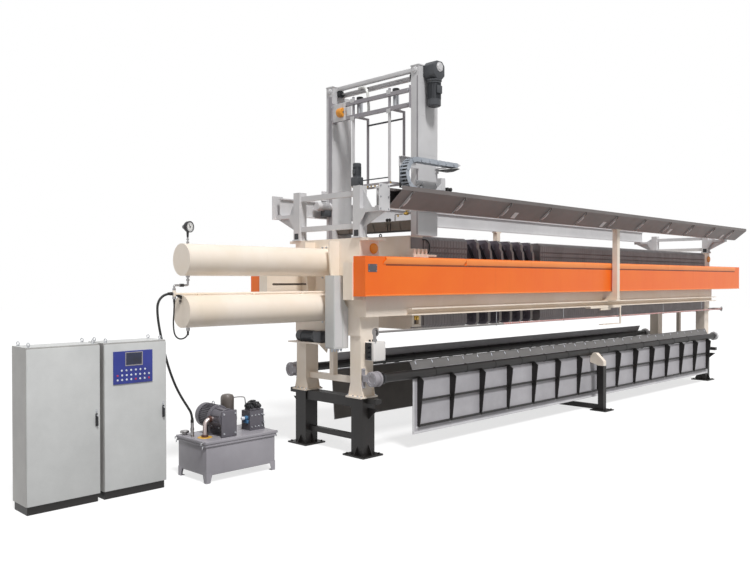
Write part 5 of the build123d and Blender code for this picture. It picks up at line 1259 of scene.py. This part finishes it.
for side, body, name in ((-1, "near_drip_door", "near"), (1, "far_drip_door", "far")):
    outer, strip = -door["sheet"] - door["proud"], door["strip"]
    addBox(bm, (door["start"], outer, -door["tip"]), (door["end"], 0, -door["tip"] + strip), 0.002)
    for x in (door["start"], door["end"] - strip):
        addBox(bm, (x, outer, -door["tip"] + strip), (x + strip, 0, -door["top"] - 0.01), 0.002)
    pitch = (door["end"] - door["start"] - 2 * door["margin"]) / door["bays"]
    for index in range(door["bays"] + 1):  # foot of each rib, with its bolt
        x = door["start"] + door["margin"] + index * pitch
        addBox(bm, (x - 0.03, outer + 0.002, -door["tip"] + 0.085), (x + 0.03, 0, -door["tip"] + 0.112),
            0.002)
    placeDoor(bm, side)
    addPiece(name + "LeafStrips", bm, "stripSheet", body)
    # Darker sheet on the leaf's inner face: painted shade for its shaded inside
    addBox(bm, (door["start"] + 0.01, 0.001, -door["tip"] + 0.012),
        (door["end"] - 0.01, door["sheet"] + 0.002, -door["top"] - 0.02), 0.001)
    placeDoor(bm, side)
    addPiece(name + "LeafInnerShade", bm, "linerSheet", body)
    step = Vector((0, sin(flapTurn), cos(flapTurn)))
    root = Vector((0, 0, hinge["pipe"]))
    out = Vector((0, -cos(flapTurn), sin(flapTurn)))
    tickCount = door["bays"] * 2
    for index in range(tickCount + 1):
        x = door["start"] + door["margin"] + index * pitch / 2
        corner = root + step * door["flap"] * 0.55 + out * 0.003 + Vector((x, 0, 0))
        end = corner + Vector((door["tick"], 0, 0))
        addPrism(bm, [corner, end, end + step * door["tickTall"], corner + step * door["tickTall"]],
            out * 0.004)
    placeDoor(bm, side)
    addPiece(name + "FlapTicks", bm, "keyWhite", body)
    startX, along = Vector((door["start"], 0, 0)), (door["end"] - door["start"], 0, 0)
    skin = root + step * 0.006 + out * 0.0025 + startX
    skinTop = skin + step * (door["flap"] - 0.02)
    addPrism(bm, [skin, skinTop, skinTop + out * 0.0015, skin + out * 0.0015], along)
    placeDoor(bm, side)
    addPiece(name + "FlapSkin", bm, "flapSheet", body)
    lip = root + step * (door["flap"] - 0.012) + startX
    addPrism(bm, [lip, lip + out * 0.01, lip + out * 0.01 + step * 0.012, lip + step * 0.012], along)
    placeDoor(bm, side)
    addPiece(name + "FlapLip", bm, "flapSheet", body)
    for index in range(13):  # clamp bands that hold the leaf on its pipe
        x = door["start"] + door["margin"] + (index + 0.5) * pitch
        addLathe(bm, [(hinge["pipe"], 0), (hinge["pipe"] + 0.006, 0.002), (hinge["pipe"] + 0.006, 0.034),
            (hinge["pipe"], 0.036)], (x - 0.018, 0, 0), toFeed, steps=24)
    placeDoor(bm, side)
    addPiece(name + "PipeBands", bm, "blackEnamel", body)
print("drip doors dressed")

# Stands: bolts in the feet and on the middle stand's arms, webs at the posts
bolts = bmesh.new()
postHalf, web, footTop = 0.125, 0.012, 0.025
for standX in (0, 12.6013):
    for side in (-1, 1):
        postY = side * 0.66
        for dx in (-0.165, 0.165):
            for dy in (-0.18, 0.18):
                addBolt(bolts, (standX + dx, postY + dy, footTop), toUp, 0.03)
        for sideY in (-1, 1):
            edge = postY + sideY * postHalf
            addPrism(bm, [(standX - web / 2, edge, footTop), (standX - web / 2, edge + sideY * 0.085,
                footTop), (standX - web / 2, edge, 0.18)], (web, 0, 0))
        for sideX in (-1, 1):
            edge = standX + sideX * postHalf
            addPrism(bm, [(edge, postY - web / 2, footTop), (edge + sideX * 0.07, postY - web / 2, footTop),
                (edge, postY - web / 2, 0.15)], (0, web, 0))
        addPrism(bm, [(standX - web / 2, side * 0.785, 0.73), (standX - web / 2, side * 0.99, 0.73),
            (standX - web / 2, side * 0.785, 0.56)], (web, 0, 0))
low, high = localBox("middle_stand")
middleX = (low.x + high.x) / 2
for side in (-1, 1):
    for dx in (-0.13, 0.13):
        for dy in (-0.13, 0.13):
            addBolt(bolts, (middleX + dx, side * 1.2 + dy, footTop), toUp, 0.026)
    for dx in (-0.04, 0.04):
        addBolt(bolts, (middleX + dx, side * 1.235, 0.921), toUp, 0.018)
addPiece("standWebs", bm, "blackEnamel")
addPiece("standBolts", bolts, "blackEnamel")

# Rail columns: foot plates with bolts on the lower rail, webs under the head plates
bolts = bmesh.new()
for columnX, side in ((6.92, -1), (5.86, 1)):
    for dx in (-0.075, 0.075):
        for y in (0.93, 1):
            addBolt(bolts, (columnX + dx, side * y, 2.235), toUp, 0.02)
    for dx in (-0.055, 0.049):
        addPrism(bm, [(columnX + dx, side * 1.09, 2.23), (columnX + dx, side * 0.9, 2.23),
            (columnX + dx, side * 1.09, 2.4)], (0.006, 0, 0))
    for sideX in (-1, 1):
        edge = columnX + sideX * 0.055
        addPrism(bm, [(edge, side * 1.142, 3.695), (edge + sideX * 0.038, side * 1.142, 3.695),
            (edge, side * 1.142, 3.6)], (0, 0.006, 0))
addPiece("railColumnWebs", bm, "creamEnamel")
addPiece("railColumnBolts", bolts, "zincSteel")

# Under the near beam: the bracket with its angle post and the small foot beside it
addBox(bm, (6.14, -1.005, 2.062), (7.43, -0.88, 2.099), 0.004)
addBox(bm, (6.56, -1, 2.02), (6.98, -0.965, 2.066), 0.004)
addBox(bm, (7.38, -1, 1.72), (7.43, -0.99, 2.066), 0.002)
addBox(bm, (7.42, -1, 1.72), (7.43, -0.962, 2.066), 0.002)
addBox(bm, (6.64, -1, 1.712), (7.43, -0.9, 1.726), 0.003)
addPiece("railHanger", bm, "creamEnamel")

# Pull cord: red and white sheath over the wire, eye bolts and the ring at its end, the pulley at its start
cord = {"y": -0.94, "z": 1.875, "thinFrom": 3.7, "radius": 0.0175, "thinRadius": 0.0155,
    "loops": (3, 5.2, 7.4, 9.6, 11.8)}
low, high = localBox("pull_cord")
for startX, endX, radius in ((low.x, cord["thinFrom"], cord["radius"]),
        (cord["thinFrom"], high.x, cord["thinRadius"])):
    addRod(bm, (startX, cord["y"], cord["z"]), (endX - startX, 0, 0), radius, sides=20)
addPiece("cordSheathing", bm, "cordPrint", replaces="pull_cord")
addLathe(bm, [(0.012, 0.002), (0.05, 0.002), (0.06, -0.006), (0.064, -0.006), (0.064, 0.014), (0.06, 0.014),
    (0.05, 0.008), (0.012, 0.008)], (-0.012, cord["y"], cord["z"]), toFeed, steps=32)
for x in (low.x + 0.05, high.x - 0.05):
    addRod(bm, (x - 0.035, cord["y"], cord["z"]), (0.07, 0, 0), 0.014, sides=12)
addRing(bm, (high.x + 0.04, cord["y"], cord["z"]), toFar, 0.052, 0.014)
addPiece("cordFittings", bm, "drawnSteel")
for x in cord["loops"]:  # they hold the cord up below the beam
    addRing(bm, (x, cord["y"], cord["z"]), toFeed, 0.022, 0.004, steps=16, sides=6)
    addRod(bm, (x, cord["y"], cord["z"] + 0.021), (0, 0, 0.204), 0.005, sides=8)
    addPiece(f"cordLoop{int(x * 10)}", bm, "zincSteel")
print("stands and cord fitted")

# Washing tower legs: lipped flanges on both edges, cap lids, shaft ends, wheel hubs and bolts
leg = {"start": 0.8, "end": 1.245, "middle": 0.99, "outer": 1.07, "low": 3.36, "high": 5.805, "proud": 0.006,
    "grooveShadeSheet": 0.001}
shade, bolts = bmesh.new(), bmesh.new()
for way, faceX in ((-1, leg["start"]), (1, leg["end"])):
    for spanY in ((-1.028, -0.914), (-1.069, -1.058), (1.018, 1.066), (0.914, 0.926)):
        addBox(bm, (faceX, spanY[0], leg["low"]), (faceX + way * leg["proud"], spanY[1], leg["high"]), 0.002)
    # Darker grey sheets 1 mm proud between the flanges: painted shade of the grooves
    for spanY in ((-1.058, -1.028), (0.926, 1.018)):
        addBox(shade, (faceX, spanY[0], leg["low"]), (faceX + way * leg["grooveShadeSheet"], spanY[1], leg["high"]))
for side in (-1, 1):
    capY = side * leg["middle"]
    addBox(bm, (0.79, capY - 0.088, 5.962), (1.07, capY + 0.088, 5.984), 0.006, steps=2)
    addLathe(bm, [(0, 0.03), (0.026, 0.03), (0.03, 0.018), (0.052, 0.016), (0.056, 0.006), (0.056, 0)],
        (leg["start"], side * leg["middle"], 5.9), toRear)
    y = side * leg["outer"]
    for z in (3.55, 3.95, 4.6, 5.2, 5.7):  # web seams of the bent channel
        addBox(bm, (leg["start"] + 0.02, y, z), (leg["end"] - 0.02, y + side * 0.002, z + 0.004))
    for x in (0.74, 0.86, 1.18, 1.3):
        for z in (4.045, 4.155):
            addBolt(bolts, (x, side * 1.092, z), (0, side, 0), 0.022)
    for x in (0.7825, 1.2625):
        addLathe(bolts, [(0, 0.02), (0.016, 0.02), (0.018, 0.008), (0.038, 0.006), (0.04, 0), (0.056, 0),
            (0.058, -0.006)], (x, side * 1.147, 4.06), (0, side, 0), steps=24)
addPiece("legFlanges", bm, "greyEnamel", "washing_tower")
addPiece("legGrooveShade", shade, "shadeGreyEnamel", "washing_tower")
addPiece("legBolts", bolts, "zincSteel", "washing_tower")

# Top bars: square tube with rounded corners, the lift shaft below with its sprockets and bearings
lift = {"x": 0.93, "z": 5.845, "reach": 0.91, "radius": 0.016}
topBar = {"half": 0.035, "flangeHalf": 0.048, "flange": 0.014, "roof": 5.979}
for x, z in ((lift["x"], 5.945), (1.025, 5.85)):
    half, flange, reach = topBar["half"], topBar["flangeHalf"], lift["reach"]
    addBox(bm, (x - half, -reach, z - half), (x + half, reach, z + half), 0.01, steps=3)
    for side in (-1, 1):
        addBox(bm, (x - flange, side * reach, z - flange), (x + flange, side * (reach - topBar["flange"]),
            min(z + flange, topBar["roof"])), 0.004)
addPiece("topBars", bm, "greyEnamel", "washing_tower", replaces="tower_bars")
addRod(bm, (lift["x"], -lift["reach"], lift["z"]), (0, 2 * lift["reach"], 0), lift["radius"])
addPiece("liftShaft", bm, "drawnSteel", "washing_tower")
for side in (-1, 1):
    addLathe(bm, [(0.016, 0), (0.034, 0), (0.034, 0.012), (0.058, 0.014), (0.058, 0.026), (0.034, 0.028),
        (0.034, 0.044), (0.016, 0.044)], (lift["x"], side * 0.8, lift["z"]), (0, side, 0), steps=24)
    addBox(bm, (0.895, side * 0.866, 5.805), (0.965, side * 0.9, 5.909), 0.01, steps=2)
addPiece("liftSprockets", bm, "blackNylon", "washing_tower")

# Lift gearmotor: cast box with cut corners, output cover, finned motor below with its terminal box
low, high = localBox("tower_gearmotor")
axis = Vector(((low.x + high.x) / 2, (low.y + high.y) / 2, 0))
boxLow, cut, coverZ = 5.74, 0.062, 5.927
outline = [(low.x + cut, low.y + 0.01, boxLow), (high.x - cut, low.y + 0.01, boxLow),
    (high.x, low.y + 0.01, boxLow + cut), (high.x, low.y + 0.01, high.z - cut),
    (high.x - cut, low.y + 0.01, high.z), (low.x + cut, low.y + 0.01, high.z),
    (low.x, low.y + 0.01, high.z - cut), (low.x, low.y + 0.01, boxLow + cut)]
verts = addPrism(bm, outline, (0, high.y - low.y - 0.01, 0))
bmesh.ops.bevel(bm, geom=list({edge for vert in verts for edge in vert.link_edges}), offset=0.012,
    offset_type="OFFSET", affect="EDGES", segments=2, profile=0.5, material=-1)
for z in (boxLow + 0.085, high.z - 0.09):
    addBox(bm, (low.x - 0.001, low.y + 0.02, z), (high.x + 0.001, high.y - 0.002, z + 0.01), 0.003)
addLathe(bm, [(0.12, 0), (0.12, 0.022), (0.104, 0.026)], (axis.x, axis.y, boxLow + 0.004), toDown)
addFinnedMotor(bm, (axis.x, axis.y, boxLow - 0.018), toDown, 0.108, boxLow - 0.018 - low.z, toNear, fins=28)
addPiece("liftGearmotor", bm, "motorEnamel", "washing_tower", replaces="tower_gearmotor")
addLathe(bm, [(0, 0.018), (0.046, 0.018), (0.052, 0.012), (0.07, 0.01), (0.074, 0)],
    (axis.x, low.y + 0.012, coverZ), toNear)
addBoltRing(bm, (axis.x, low.y + 0.003, coverZ), toNear, 0.06, 6, 0.01, first=0, washer=False)
addPiece("gearCover", bm, "greyEnamel", "washing_tower")
print("tower legs and lift drive fitted")

# Spray carriage: guide plates with rollers, lance cylinders, wash pipe and nozzles
lance = {"x": 0.98, "y": 0.42, "z": 5.406, "length": 0.29}
dark, light = bmesh.new(), bmesh.new()
for side in (-1, 1):
    lanceFoot = (lance["x"], side * lance["y"], lance["z"])
    for z in (5.4, 5.61):
        addBolt(light, (0.77, side * 0.885, z), toRear, 0.024)
    addBox(bm, (0.8125, side * 0.4025, 4.24), (0.8475, side * 0.4375, 5.355), 0.002)
    addLathe(light, [(0.05, 0), (0.05, 0.285), (0.044, lance["length"]), (0, lance["length"])], lanceFoot,
        toUp, steps=28)
    addLathe(dark, [(0.05, lance["length"]), (0.058, 0.292), (0.058, 0.328), (0.05, 0.336), (0, 0.336)],
        lanceFoot, toUp, steps=28)
    addBox(bm, (0.92, side * 0.365, 5.392), (1.04, side * 0.475, 5.412), 0.004)
    addBox(bm, (0.905, side * 0.395, 5.64), (0.96, side * 0.445, 5.68), 0.006)
    for z in (5.355, 5.655):  # joint plates on the front rods
        addBox(bm, (0.797, side * 0.375, z - 0.035), (0.803, side * 0.465, z + 0.035), 0.002)
addBox(bm, (0.795, 0.58, 5.352), (0.801, 0.905, 5.656), 0.002)
addBox(bm, (0.788, 0.6, 5.352), (0.796, 0.64, 5.656), 0.002)
addPiece("carriagePlates", bm, "greyEnamel", "spray_carriage")
addPiece("lanceCaps", dark, "blackNylon", "spray_carriage")
addPiece("lanceCylinders", light, "zincSteel", "spray_carriage")
addLathe(bm, [(0.02, 0), (0.07, 0.004), (0.078, 0.014), (0.078, 0.108), (0.07, 0.118), (0.02, 0.122)],
    (0.782, 0.615, 5.49), toFar, steps=28)
addPiece("carriageDrum", bm, "amberEnamel", "spray_carriage")
addTube(bm, [(0.882, 0.345, 5.85), (0.882, 0.3, 5.862), (0.882, 0.235, 5.862), (0.882, 0.18, 5.835),
    (0.882, 0.14, 5.76), (0.882, 0.118, 5.65), (0.882, 0.11, 5.52), (0.882, 0.11, 5.44), (0.876, 0.11, 5.405),
    (0.862, 0.11, 5.392)], 0.024)
addPiece("washHose", bm, "clearTube", "spray_carriage")
for side in (-1, 1):
    for x in (0.83, 1.17):
        addRod(bm, (x, side * 0.436, 4.215), (0, side * 0.016, 0), 0.012, sides=12)
for index in range(9):
    y = -0.36 + index * 0.09
    addLathe(bm, [(0.01, 0), (0.013, 0.004), (0.013, 0.018), (0.006, 0.03), (0, 0.03)], (0.83, y, 4.2),
        toDown, steps=12)
addPiece("sprayNozzles", bm, "castBrass", "spray_carriage")
addRod(bm, (1.17, -0.404, 5.285), (0, 0.808, 0), 0.015)
addRod(bm, (0.83, -0.404, 4.3), (0, 0.808, 0), 0.01)
addPiece("cageRails", bm, "motorEnamel", "spray_carriage")

# Drip tray: folded sheet with sloped sides, rolled rim, wash pipe with its brass valve and rollers
low, high = localBox("drip_tray")
inset, sheet = 0.062, 0.004
for startX, endX, way in ((low.x, low.x + inset, 1), (high.x, high.x - inset, -1)):
    addPrism(bm, [(startX, low.y, high.z), (startX + way * sheet, low.y, high.z),
        (endX + way * sheet, low.y, low.z + sheet), (endX, low.y, low.z)], (0, high.y - low.y, 0))
    addRod(bm, (startX + way * 0.006, low.y + 0.001, high.z - 0.004), (0, high.y - low.y - 0.002, 0), 0.008,
        sides=12)
addBox(bm, (low.x + inset, low.y, low.z), (high.x - inset, high.y, low.z + sheet))
for y in (low.y, high.y - sheet):
    addPrism(bm, [(low.x, y, high.z), (low.x + inset, y, low.z), (high.x - inset, y, low.z),
        (high.x, y, high.z)], (0, sheet, 0))
for y in (-0.6, -0.3, 0, 0.3, 0.6):
    addPrism(bm, [(low.x, y, high.z - 0.01), (low.x + inset, y, low.z + 0.001),
        (low.x + inset - 0.012, y, low.z + 0.001), (low.x - 0.004, y, high.z - 0.02)], (0, 0.008, 0))
addPiece("trayShell", bm, "trayEnamel", "washing_tower", replaces="drip_tray")
addBox(bm, (low.x + inset - 0.003, low.y + 0.003, low.z - 0.008), (high.x - inset + 0.003, high.y - 0.003,
    low.z + 0.001), 0.002)
for y in (-0.33, -0.385):
    addLathe(bm, [(0.008, 0), (0.022, 0), (0.026, 0.006), (0.026, 0.022), (0.022, 0.028), (0.008, 0.028)],
        (0.868, y - 0.014, 3.616), toFar, steps=20)
    addBox(bm, (0.86, y - 0.018, low.z + 0.002), (0.876, y - 0.014, 3.63), 0.001)
addPiece("trayBase", bm, "blackEnamel", "washing_tower")
washPipe = {"x": 0.88, "z": 3.7, "radius": 0.011, "valveY": -0.743}
x, z, valveY = washPipe["x"], washPipe["z"], washPipe["valveY"]
addTube(bm, [(x, -0.909, z), (x, -0.64, z), (x, -0.54, z), (x, -0.51, z), (x, -0.495, 3.69),
    (x, -0.495, 3.66), (x, -0.495, 3.56)], washPipe["radius"])
addPiece("trayPipe", bm, "drawnSteel", "washing_tower")
addLathe(bm, [(0.012, -0.045), (0.02, -0.044), (0.02, -0.028), (0.026, -0.02), (0.026, 0.02), (0.02, 0.028),
    (0.02, 0.044), (0.012, 0.045)], (x, valveY, z), toFar, steps=20)
addRod(bm, (x, valveY, z), (0, 0, 3.742 - z), 0.009, sides=12)
addBox(bm, (0.866, -0.8, 3.74), (0.894, -0.725, 3.75), 0.003)
addRod(bm, (x, -0.56, 3.69), (0, 0, -0.035), 0.013, sides=6)
addPiece("trayValve", bm, "castBrass", "washing_tower")
print("carriage and tray fitted")

# Cable carrier: rounded side links in two staggered rows, cross bars, end bracket, guide plate and rollers
chain = {"centre": (0.41, 4.2063), "radius": 0.225, "end": 1.33, "low": -1.42, "high": -1.27, "links": 27,
    "half": 0.035, "plate": 0.009, "step": 0.007}
centreX, centreZ = chain["centre"]
runLength = chain["end"] - centreX
bendLength = pi * chain["radius"]
totalLength = 2 * runLength + bendLength


# Place and heading at one distance along the chain, from its bracket
def chainPoint(distance):
    if distance < runLength:
        return chain["end"] - distance, centreZ + chain["radius"], pi
    if distance < runLength + bendLength:
        turn = (distance - runLength) / chain["radius"]
        return (centreX - chain["radius"] * sin(turn), centreZ + chain["radius"] * cos(turn), pi + turn)
    return centreX + (distance - runLength - bendLength), centreZ - chain["radius"], tau


linkPitch = totalLength / chain["links"]
for index in range(chain["links"]):
    x, z, heading = chainPoint((index + 0.5) * linkPitch)
    placed = Matrix.Translation((x, 0, z)) @ Matrix.Rotation(-heading, 4, "Y")
    reach = linkPitch / 2 + 0.004
    half = chain["half"]
    verts = []
    for side, edge in ((1, chain["low"]), (-1, chain["high"])):
        shift = chain["step"] if index % 2 else 0
        y = edge + side * shift
        outline = []
        for end in (1, -1):
            for corner in range(5):
                turn = pi / 2 - pi * corner / 4 if end > 0 else -pi / 2 - pi * corner / 4
                outline.append((end * (reach - half * 0.55) + half * 0.8 * cos(turn), y,
                    half * 0.98 * sin(turn)))
        verts += addPrism(bm, outline, (0, side * chain["plate"], 0))
        verts += addLathe(bm, [(0, 0.004), (0.012, 0.004), (0.014, 0)], (reach * 0.75, y, 0), (0, -side, 0),
            steps=12)
    for z in (-half * 0.82, half * 0.82):
        for along in (-0.3, 0.3):
            verts += addBox(bm, (along * linkPitch - 0.012, chain["low"] + 0.012, z - 0.005),
                (along * linkPitch + 0.012, chain["high"] - 0.012, z + 0.005))
    bmesh.ops.transform(bm, matrix=placed, verts=verts)
addPiece("cableCarrier", bm, "chainNylon", "washing_tower", replaces="drag_chain")
addBox(bm, (1.185, -1.29, 4.398), (1.27, -1.07, 4.408), 0.002)
addBox(bm, (1.185, -1.078, 4.33), (1.27, -1.07, 4.464), 0.002)
addPrism(bm, [(1.33, -1.415, 4.398), (1.33, -1.415, 4.464), (1.405, -1.415, 4.44)], (0, 0.14, 0))
addBox(bm, (0.345, -1.086, 4.36), (0.8, -1.076, 4.515), 0.003)
addBox(bm, (0.345, -1.15, 4.5), (0.7, -1.084, 4.508), 0.002)
addBox(bm, (0.96, -1.395, 4.0165), (1.06, -1.3, 4.21), 0.008)
addPrism(bm, [(0.83, -1.395, 4.0165), (0.96, -1.395, 4.0165), (0.96, -1.395, 4.12)], (0, 0.012, 0))
addPiece("carrierBrackets", bm, "greyEnamel", "washing_tower")
# A black box below the guide plate, in the hoses' rubber
addBox(bm, (0.35, -1.098, 4.035), (0.47, -1.078, 4.362), 0.006)
addPrism(bm, [(1.02, -1.41, 4.345), (1.33, -1.41, 4.392), (1.395, -1.41, 4.386), (1.23, -1.41, 4.325),
    (1.02, -1.41, 4.325)], (0, 0.13, 0))
for x in (1.095, 1.17):
    addRod(bm, (x, -1.415, 4.046), (0, 0.14, 0), 0.028, sides=20)
    addBox(bm, (x - 0.012, -1.415, 4.01), (x + 0.012, -1.407, 4.046), 0.002)
cables = [(-1.395, 0.011), (-1.365, 0.014), (-1.33, 0.01), (-1.3, 0.012)]
for y, radius in cables:
    path = [(1.325 - index * 0.23, y, centreZ + chain["radius"] - 0.008) for index in range(4)]
    for index in range(9):
        turn = pi * index / 8
        path.append((centreX - (chain["radius"] - 0.004) * sin(turn), y,
            centreZ + (chain["radius"] - 0.008) * cos(turn)))
    path += [(centreX + 0.23 * (index + 1), y, centreZ - chain["radius"] - 0.004) for index in range(4)]
    addTube(bm, path, radius, resolution=4)
addPiece("carriedCables", bm, "hoseRubber", "washing_tower")

# Travel drive on the far leg and the gearmotor that stands on the near gantry post
addFinnedMotor(bm, (0.794, 0.99, 3.91), toRear, 0.075, 0.29)
addPiece("farTravelMotor", bm, "greyEnamel", "washing_tower")
addBox(bm, (0.64, 0.935, 3.74), (0.794, 1.045, 3.845), 0.012, steps=2)
addPiece("farTravelGearbox", bm, "motorEnamel", "washing_tower")
low, high = localBox("travel_motor")
x, y = (low.x + high.x) / 2, (low.y + high.y) / 2
addBox(bm, (low.x, low.y, low.z), (high.x, high.y, low.z + 0.14), 0.016, steps=3)
addLathe(bm, [(0, 0.006), (0.03, 0.006), (0.032, 0)], (x, low.y, low.z + 0.07), toNear, steps=20)
addFinnedMotor(bm, (x, y, low.z + 0.139), toUp, 0.064, high.z - low.z - 0.14, toRear, fins=20)
addPiece("travelGearmotor", bm, "motorEnamel", replaces="travel_motor")
print("cable carrier and travel drives fitted")

# Gantries: foot plates, black tube plugs, upper webs over the arms, bolts in the end plates
plugs, bolts = bmesh.new(), bmesh.new()
for postX, footZ, topZ in ((-0.1, 3.28, 4.05), (12.666, 3.36, 3.85)):
    for side in (-1, 1):
        y = side * 0.7
        addBox(bm, (postX - 0.09, y - 0.092, footZ), (postX + 0.09, y + 0.092, footZ + 0.01), 0.002)
        addBox(bm, (postX - 0.077, y - 0.077, topZ - 0.001), (postX + 0.077, y + 0.077, topZ + 0.006), 0.003)
        addBox(plugs, (postX - 0.079, y - 0.047, footZ + 0.025), (postX - 0.074, y + 0.047, footZ + 0.118),
            0.004)
        for dx in (-0.078, 0.078):
            for dy in (-0.08, 0.08):
                addBolt(bolts, (postX + dx, y + dy, footZ + 0.01), toUp, 0.02)
        upper = topZ - 0.04
        addPrism(bm, [(postX - 0.006, side * 0.774, upper), (postX - 0.006, side * 0.774, 3.708),
            (postX - 0.006, side * 0.965, 3.708)], (0.012, 0, 0))
        for edge in (-0.074, 0.068):
            addPrism(bm, [(postX + edge, side * 0.774, 3.652), (postX + edge, side * 0.774, 3.48),
                (postX + edge, side * 0.9, 3.652)], (0.006, 0, 0))
for startX, endX, sides in ((-0.245, -0.025, (-1, 1)), (12.521, 12.741, (1,))):
    for side in sides:
        for x in (startX + 0.03, endX - 0.03):
            for z in (3.68, 3.85, 4.01):
                addBolt(bolts, (x, side * 1.25, z), (0, side, 0), 0.02)
addPiece("gantryWebs", bm, "greyEnamel")
addPiece("gantryPlugs", plugs, "blackNylon")
addPiece("gantryBolts", bolts, "zincSteel")

# Cable trough: rolled lip, curved ribs under the slope, splice plates
trough = {"start": -0.025, "end": 13.301, "firstRib": 0.22, "pitch": 1.225, "ribs": 11, "ribWide": 0.03,
    "bulge": 0.045}
addRod(bm, (trough["start"], -1.487, 3.988), (trough["end"] - trough["start"], 0, 0), 0.0115, sides=12)
addBox(bm, (trough["start"], -1.4995, 3.944), (trough["end"], -1.4975, 3.984))
for index in range(trough["ribs"]):
    x = trough["firstRib"] + index * trough["pitch"]
    outer, inner = Vector((x, -1.4985, 3.958)), Vector((x, -1.205, 3.706))
    down = Vector((0, inner.z - outer.z, outer.y - inner.y)).normalized()
    if down.z > 0:
        down = -down
    curve = [outer + (inner - outer) * (turn / 8) + down * trough["bulge"] * sin(pi * turn / 8)
        for turn in range(9)]
    flat = [outer + (inner - outer) * (turn / 8) for turn in range(8, -1, -1)]
    outline = [(x - trough["ribWide"] / 2, max(point.y, -1.4985), point.z) for point in curve]
    outline += [(x - trough["ribWide"] / 2, point.y, point.z + 0.012) for point in flat[1:-1]]
    addPrism(bm, outline, (trough["ribWide"], 0, 0))
for x in (3.05, 6.1, 9.15, 12.2):  # splice plates between lengths
    addPrism(bm, [(x - 0.06, -1.47, 3.938), (x - 0.06, -1.235, 3.724), (x - 0.06, -1.235, 3.718),
        (x - 0.06, -1.47, 3.932)], (0.12, 0, 0))
addPiece("troughRibs", bm, "greyEnamel")
print("gantries and trough fitted")
